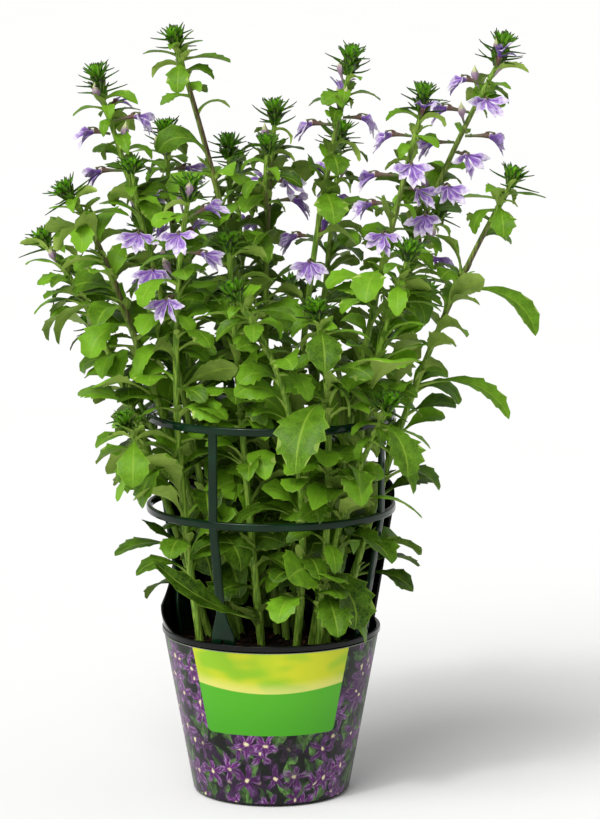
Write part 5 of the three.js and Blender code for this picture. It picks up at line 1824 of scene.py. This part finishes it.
def added_leaves(stem, shoot, room, blooms, random):
    """Leaves that the solids leave out: a collar of small ones under each rosette, small ones in the joints
    of the large ones, some more wherever there is room, and inner ones that only keep off the cage, the pot
    and the blooms."""
    draw = random.uniform
    span = np.linalg.norm(shoot.curve.end - shoot.curve.start)
    main = shoot is stem.shoots[0]
    start = draw(0, 360)

    def wish(share, turn, rise, length, wide):
        """A leaf that rolls until its upper face looks out of the plant."""
        roll = -np.sign(direction(turn + 90, 0) @ shoot.curve.at(share)) * draw(10, 75)
        return leaf_at(share, shoot.curve, turn, rise, length, draw(45, 130), roll, wide, draw(-25, 25))

    def spread(kind):
        """Leaves along the whole shoot."""
        wishes = []
        for k in range(kind.count if main else kind.on_side):
            share = mix(*kind.sits, (k + random.random()) / kind.count)
            length = mix(*kind.length, share) * draw(*kind.varies)
            wishes.append(wish(share, draw(0, 360), draw(*kind.rise), length, draw(*kind.wide)))
        return wishes

    wishes = []
    for k in range(COLLAR.count):
        share = 1 - (COLLAR.first + COLLAR.spacing * k) / span
        wishes.append(wish(share, start + SPIRAL.step * k, draw(10, 42), draw(14, 23), 0.4))
    wishes += spread(OUTER)
    fitted = [fit_leaf(room, stem, row, RULED_STEPS) for row in wishes]
    added = [leaf for leaf in fitted if leaf]
    inner = spread(INNER)
    for _ in range(BY_BLOOM * len(stem.flowers) if main else 0):
        inner.append(wish(draw(0.68, 0.97), draw(0, 360), draw(-10, 60), draw(13, 21), 0.62))
    for leaf in inner:
        points = blade_points(leaf, midrib(leaf, STATIONS), ROOM.root, 1)
        if room.misses(points, HOLDER, *blooms):
            added.append(leaf)
    for leaf in shoot.leaves:
        for side in JOINT.sides:
            length = draw(8, 15)
            turn, rise, droop = leaf.turn + side, draw(48, 72), draw(20, 60)
            added.append(leaf_at(leaf.share, shoot.curve, turn, rise, length, droop, 0, JOINT.wide))
    return added


# A leaf's usual tone, and the painted shade and light that its place in the plant takes from it or adds
LEAF_TONE_AND_PAINTED_SHADE = Sizes(usual=0.56, at_back=0.2, with_height=0.2, inside=0.24, level=200, radius=70)


def leaf_tone_and_painted_shade(root, back):
    """Painted shade and light: darker low down, inside the plant and at its back, lighter high up."""
    # Painted shade inside the plant: leaves near its axis darken, standing in for the shade that the leaves
    # round them cast
    painted_occlusion = np.clip(1 - np.hypot(root[0], root[1]) / LEAF_TONE_AND_PAINTED_SHADE.radius, 0, 1)
    painted_light = LEAF_TONE_AND_PAINTED_SHADE.with_height * (root[2] - LEAF_TONE_AND_PAINTED_SHADE.level) / LEAF_TONE_AND_PAINTED_SHADE.level
    return LEAF_TONE_AND_PAINTED_SHADE.usual - LEAF_TONE_AND_PAINTED_SHADE.at_back * back + painted_light - LEAF_TONE_AND_PAINTED_SHADE.inside * painted_occlusion


# Each form's leaves are longer than the first length and no longer than the second
FORM_LENGTHS = ((LARGE, 36, math.inf), (MIDDLE, 17, 36), (SMALL, 0, 17))


def dressed_shoot(stem, shoot, room, blooms, thickness, random):
    """A shoot's surfaces: its tube, its leaves by form, and its rosette."""
    # How far the stem reaches to the back of the plant, for the painted shade of its leaves
    back = np.clip(stem.curve.end[1] / 80, -0.6, 1)
    leaves = []
    for leaf in shoot.leaves + added_leaves(stem, shoot, room, blooms, random):
        leaves.append(leaf_of_kind(leaf, random, leaf_tone_and_painted_shade(leaf.root, back), thickness))
    parts = [shoot_tube(shoot, stem.dark)]
    for form, least, most in FORM_LENGTHS:
        group = [leaf for leaf in leaves if least < leaf.length <= most]
        if group:
            parts.append(blades(form, group, SKIN.leaf))
    return [*parts, rosette(shoot, random)]


def stem_buds(stem, room, blooms, random):
    """A stem's own buds, and at each bloom a closed and an opening one where no bloom is in the way."""
    parts = []
    for row in stem.buds:
        parts.extend(bud(stem, *row, random))
    for height, turn, _, _ in stem.blooms:
        for side, kind in ((-1, bud), (1, opening_bud)):
            spot = height + random.uniform(2, 9), turn + side * random.uniform(55, 125)
            made = kind(stem, *spot, random.uniform(25, 60), random)
            if room.misses(np.concatenate([part.points for part in made]), *blooms):
                parts.extend(made)
    return parts


class POTFLOWER_OT_stems(bpy.types.Operator):
    """Grows the leafy stems: ribbed tubes, toothed leaves, side sprigs, buds and spiky rosettes"""

    bl_idname = "fan_flower.stems"
    bl_label = "Leafy stems"

    def execute(self, context):
        looks = context.scene.fan_flower
        look, bloom = looks.growth, looks.bloom
        skins = [
            stem_skin(look),
            leaf_skin("leaf, upper skin, grown", look.leaf_dark, look.leaf_light, look.vein, 0.42, 0.42),
            leaf_skin("leaf, underside, grown", look.under_dark, look.under_light, look.vein, 0.6, 0.6),
            bract_skin(look),
            bud_skin(look, bloom),
            petal_skin("petals, half open", bloom, 0.75),
            petal_skin("petals, half open, underside", darker_petals(bloom), 0.3),
        ]
        thickness = look.leaf_thickness / MM
        stems, room = plant()
        blooms = [f"{stem.name}_bloom_{i}" for stem in stems for i in range(len(stem.flowers))]
        pieces = {}
        for stem in stems:
            random = np.random.default_rng(SEED.stems + stem.index)
            parts = pieces.setdefault(stem.node, [])
            for shoot in stem.shoots:
                parts.extend(dressed_shoot(stem, shoot, room, blooms, thickness, random))
            parts.extend(stem_buds(stem, room, blooms, random))
        for node, parts in pieces.items():
            piece = add_mesh("leafy_stem_" + node, parts, skins)
            stand_for(piece, "green_growth", "stem_" + node)
        return {"FINISHED"}


# The numbers of a bloom's materials, for a blade's upper and lower face where there are two
BLOOM_SKIN = Sizes(petal=(0, 2), tube=1, sepal=(1, 1))


def bloom_tube(throat):
    """A tube that widens to its mouth and turns back into itself, so that it is hollow."""
    share = np.linspace(0, 1, 12)
    path = share[:, None] * throat
    inside = path[-1] - (throat * 0.35) * np.linspace(0.05, 1, 5)[:, None]
    path = np.concatenate([path, inside])
    outer = mix(0.75, BLOOM.mouth, share**3)
    radius = np.concatenate([outer, (BLOOM.mouth - 0.35) * np.linspace(1, 0.6, 5)])
    shade = np.concatenate([mix(0.2, 1.0, share), np.full(5, 0.3)])
    return tube(path, radius, 12, shade=shade, material=BLOOM_SKIN.tube, along=unit(path[4] - path[0]))


def bloom_petal(place, throat, look, random):
    draw = random.uniform
    along, side = petal_axes(place + draw(-0.18, 0.18))
    midrib_values = Sizes(
        root=np.zeros(3), turn=draw(-5, 5), rise=draw(12, 30), length=BLOOM.petal * draw(0.92, 1.08),
        width=look.petal_width / MM * draw(0.9, 1.1), droop=draw(5, 55), roll=draw(-30, 30),
        sweep=draw(-14, 14),
    )
    petal = blade(
        midrib_values, peak=0.62, power=1.8, blunt=1.1, fold=draw(0.1, 0.45), wave=draw(0.15, 0.45),
        tooth=draw(0.08, 0.2), phase=draw(0, 6.28), thick=look.petal_thickness / MM, stalk=1.0,
        shade=draw(0.25, 0.75), curl=draw(-0.1, 0.2),
    )
    axes = np.stack([along, side, np.cross(along, side)])
    return moved(blades(PETAL, [petal], BLOOM_SKIN.petal), throat, axes)


def bloom_sepal(place):
    leaf = Sizes(root=np.array([0.8, 0, 0]), turn=0, rise=26, length=3.4, width=1.1, droop=20)
    sepal = blade(leaf, peak=0.4, power=0.8, thick=0.35, stalk=0.3, shade=0.1)
    turn = math.radians(72 * place)
    axes = np.array([[1, 0, 0], [0, math.cos(turn), math.sin(turn)], [0, -math.sin(turn), math.cos(turn)]])
    return moved(blades(BRACT, [sepal], BLOOM_SKIN.sepal), np.zeros(3), axes)


def bloom_style(throat):
    share = np.linspace(0, 1, 12)
    path = throat + np.stack([5.2 * share - 2.0, 0 * share, 1.4 + 2.6 * share - 2.4 * share**2 * 1.5], -1)
    radius = 0.38 + 0.55 * np.exp(-(((share - 0.93) / 0.1) ** 2))
    return tube(path, radius, 8, shade=0.55, material=BLOOM_SKIN.tube)


def bloom_surfaces(flower, look, random):
    """A bloom in its own frame, laid at its stem: a tube that widens to its mouth, five petals to one side,
    five small sepals round its foot, and a curved style with a small cup at its end."""
    throat = throat_of(flower)
    parts = [
        bloom_tube(throat),
        *[bloom_petal(place, throat, look, random) for place in range(5)],
        *[bloom_sepal(place) for place in range(5)],
        bloom_style(throat),
    ]
    return [moved(part, flower.root, flower.axes) for part in parts]


class POTFLOWER_OT_blooms(bpy.types.Operator):
    """Opens the fan-shaped blooms, one piece for each"""

    bl_idname = "fan_flower.blooms"
    bl_label = "Blooms"

    def execute(self, context):
        look = context.scene.fan_flower.bloom
        skins = [
            petal_skin("petals, thin violet tissue", look, 0.9),
            bloom_tube_skin(look),
            petal_skin("petals, underside", darker_petals(look), 0.35),
        ]
        for stem in plant()[0]:
            for number, flower in enumerate(stem.flowers, 1):
                random = np.random.default_rng(SEED.blooms + SEED.bloom_step * stem.index + number)
                surfaces = bloom_surfaces(flower, look, random)
                piece = add_mesh(f"fan_bloom_{stem.name}_{number}", surfaces, skins)
                stand_for(piece, "petals", f"bloom_{stem.name}_{number}")
        return {"FINISHED"}


# Stage
class POTFLOWER_OT_stage(bpy.types.Operator):
    """Lays the pale floor, sets soft studio light and stands the camera at the photograph's angle"""

    bl_idname = "fan_flower.stage"
    bl_label = "Stage"

    FLOOR = Sizes(half=20000, drop=0.5)
    LIGHT = Sizes(tip=42, turn=-35)
    CAMERA = Sizes(across=15.8, back=-1800, height=490, down=8.8, focal=3340, frame=819, sensor=36, far=50)

    def lay_floor(self, look):
        flat = np.column_stack([SQUARE * self.FLOOR.half, np.full(4, -self.FLOOR.drop)])
        sheet = surface(flat, np.array([[0, 1, 2, 3]]), np.zeros((0, 3), int), np.zeros((4, 2)), 0.5)
        material, tree = new_material("pale painted floor")
        cloud = add(tree, "TexNoise", object_place(tree), per_metre(300), 2.0)
        finished(material, Base_Color=look.floor, Roughness=add(tree, "fade", cloud, 0.3, 0.7, 0.75, 0.85))
        add_mesh("floor", [sheet], [material])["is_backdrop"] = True

    def light(self, scene, look):
        """Even white surroundings, a soft key light, and from its side a smaller one that gives glints."""
        scene.view_settings.view_transform = "Standard"
        world = bpy.data.worlds.new("white surroundings")
        world.use_nodes = True
        background = world.node_tree.nodes["Background"].inputs
        background["Color"].default_value = (1, 1, 1, 1)
        background["Strength"].default_value = look.world
        scene.world = world
        lights = (("key", look.key, look.softness), ("glint", look.glint, look.softness / 6))
        for name, strength, angle in lights:
            light = bpy.data.lights.new(name, "SUN")
            light.energy, light.angle = strength, angle
            made = bpy.data.objects.new(name, light)
            made.rotation_euler = (math.radians(self.LIGHT.tip), 0, math.radians(self.LIGHT.turn))
            scene.collection.objects.link(made)

    def stand_camera(self, scene):
        view = self.CAMERA
        camera = bpy.data.cameras.new("camera")
        camera.sensor_width = view.sensor
        camera.lens = view.focal / view.frame * view.sensor
        camera.clip_end = view.far
        made = bpy.data.objects.new("camera", camera)
        made.location = (view.across * MM, view.back * MM, view.height * MM)
        made.rotation_euler = (math.radians(90 - view.down), 0, 0)
        scene.collection.objects.link(made)
        scene.camera = made

    def execute(self, context):
        look = context.scene.fan_flower.stage
        self.lay_floor(look)
        self.light(context.scene, look)
        self.stand_camera(context.scene)
        return {"FINISHED"}


STEPS = (
    POTFLOWER_OT_pot, POTFLOWER_OT_wrap, POTFLOWER_OT_soil, POTFLOWER_OT_cage, POTFLOWER_OT_stems,
    POTFLOWER_OT_blooms, POTFLOWER_OT_stage,
)


class POTFLOWER_PT_sidebar(bpy.types.Panel):
    """Lists the steps that build the potted fan flower"""

    bl_label = "Potted fan flower"
    bl_idname = "POTFLOWER_PT_sidebar"
    bl_space_type = "VIEW_3D"
    bl_region_type = "UI"
    bl_category = "Fan flower"

    def draw(self, context):
        for step in STEPS:
            self.layout.operator(step.bl_idname)


CLASSES = (
    PotLook, WrapLook, SoilLook, CageLook, GrowthLook, BloomLook, StageLook, FanFlowerLooks, *STEPS,
    POTFLOWER_PT_sidebar,
)


def register():
    for kind in CLASSES:
        bpy.utils.register_class(kind)
    bpy.types.Scene.fan_flower = bpy.props.PointerProperty(type=FanFlowerLooks)


def unregister():
    del bpy.types.Scene.fan_flower
    for kind in reversed(CLASSES):
        bpy.utils.unregister_class(kind)


def corners(box):
    return [[float(value) for value in corner] for corner in box]


def main():
    register()
    for step in STEPS:
        group, name = step.bl_idname.split(".")
        getattr(getattr(bpy.ops, group), name)()
    {"cad": corners(CAD_BOX), "visual": corners(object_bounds())}


if __name__ == "__main__":
    main()
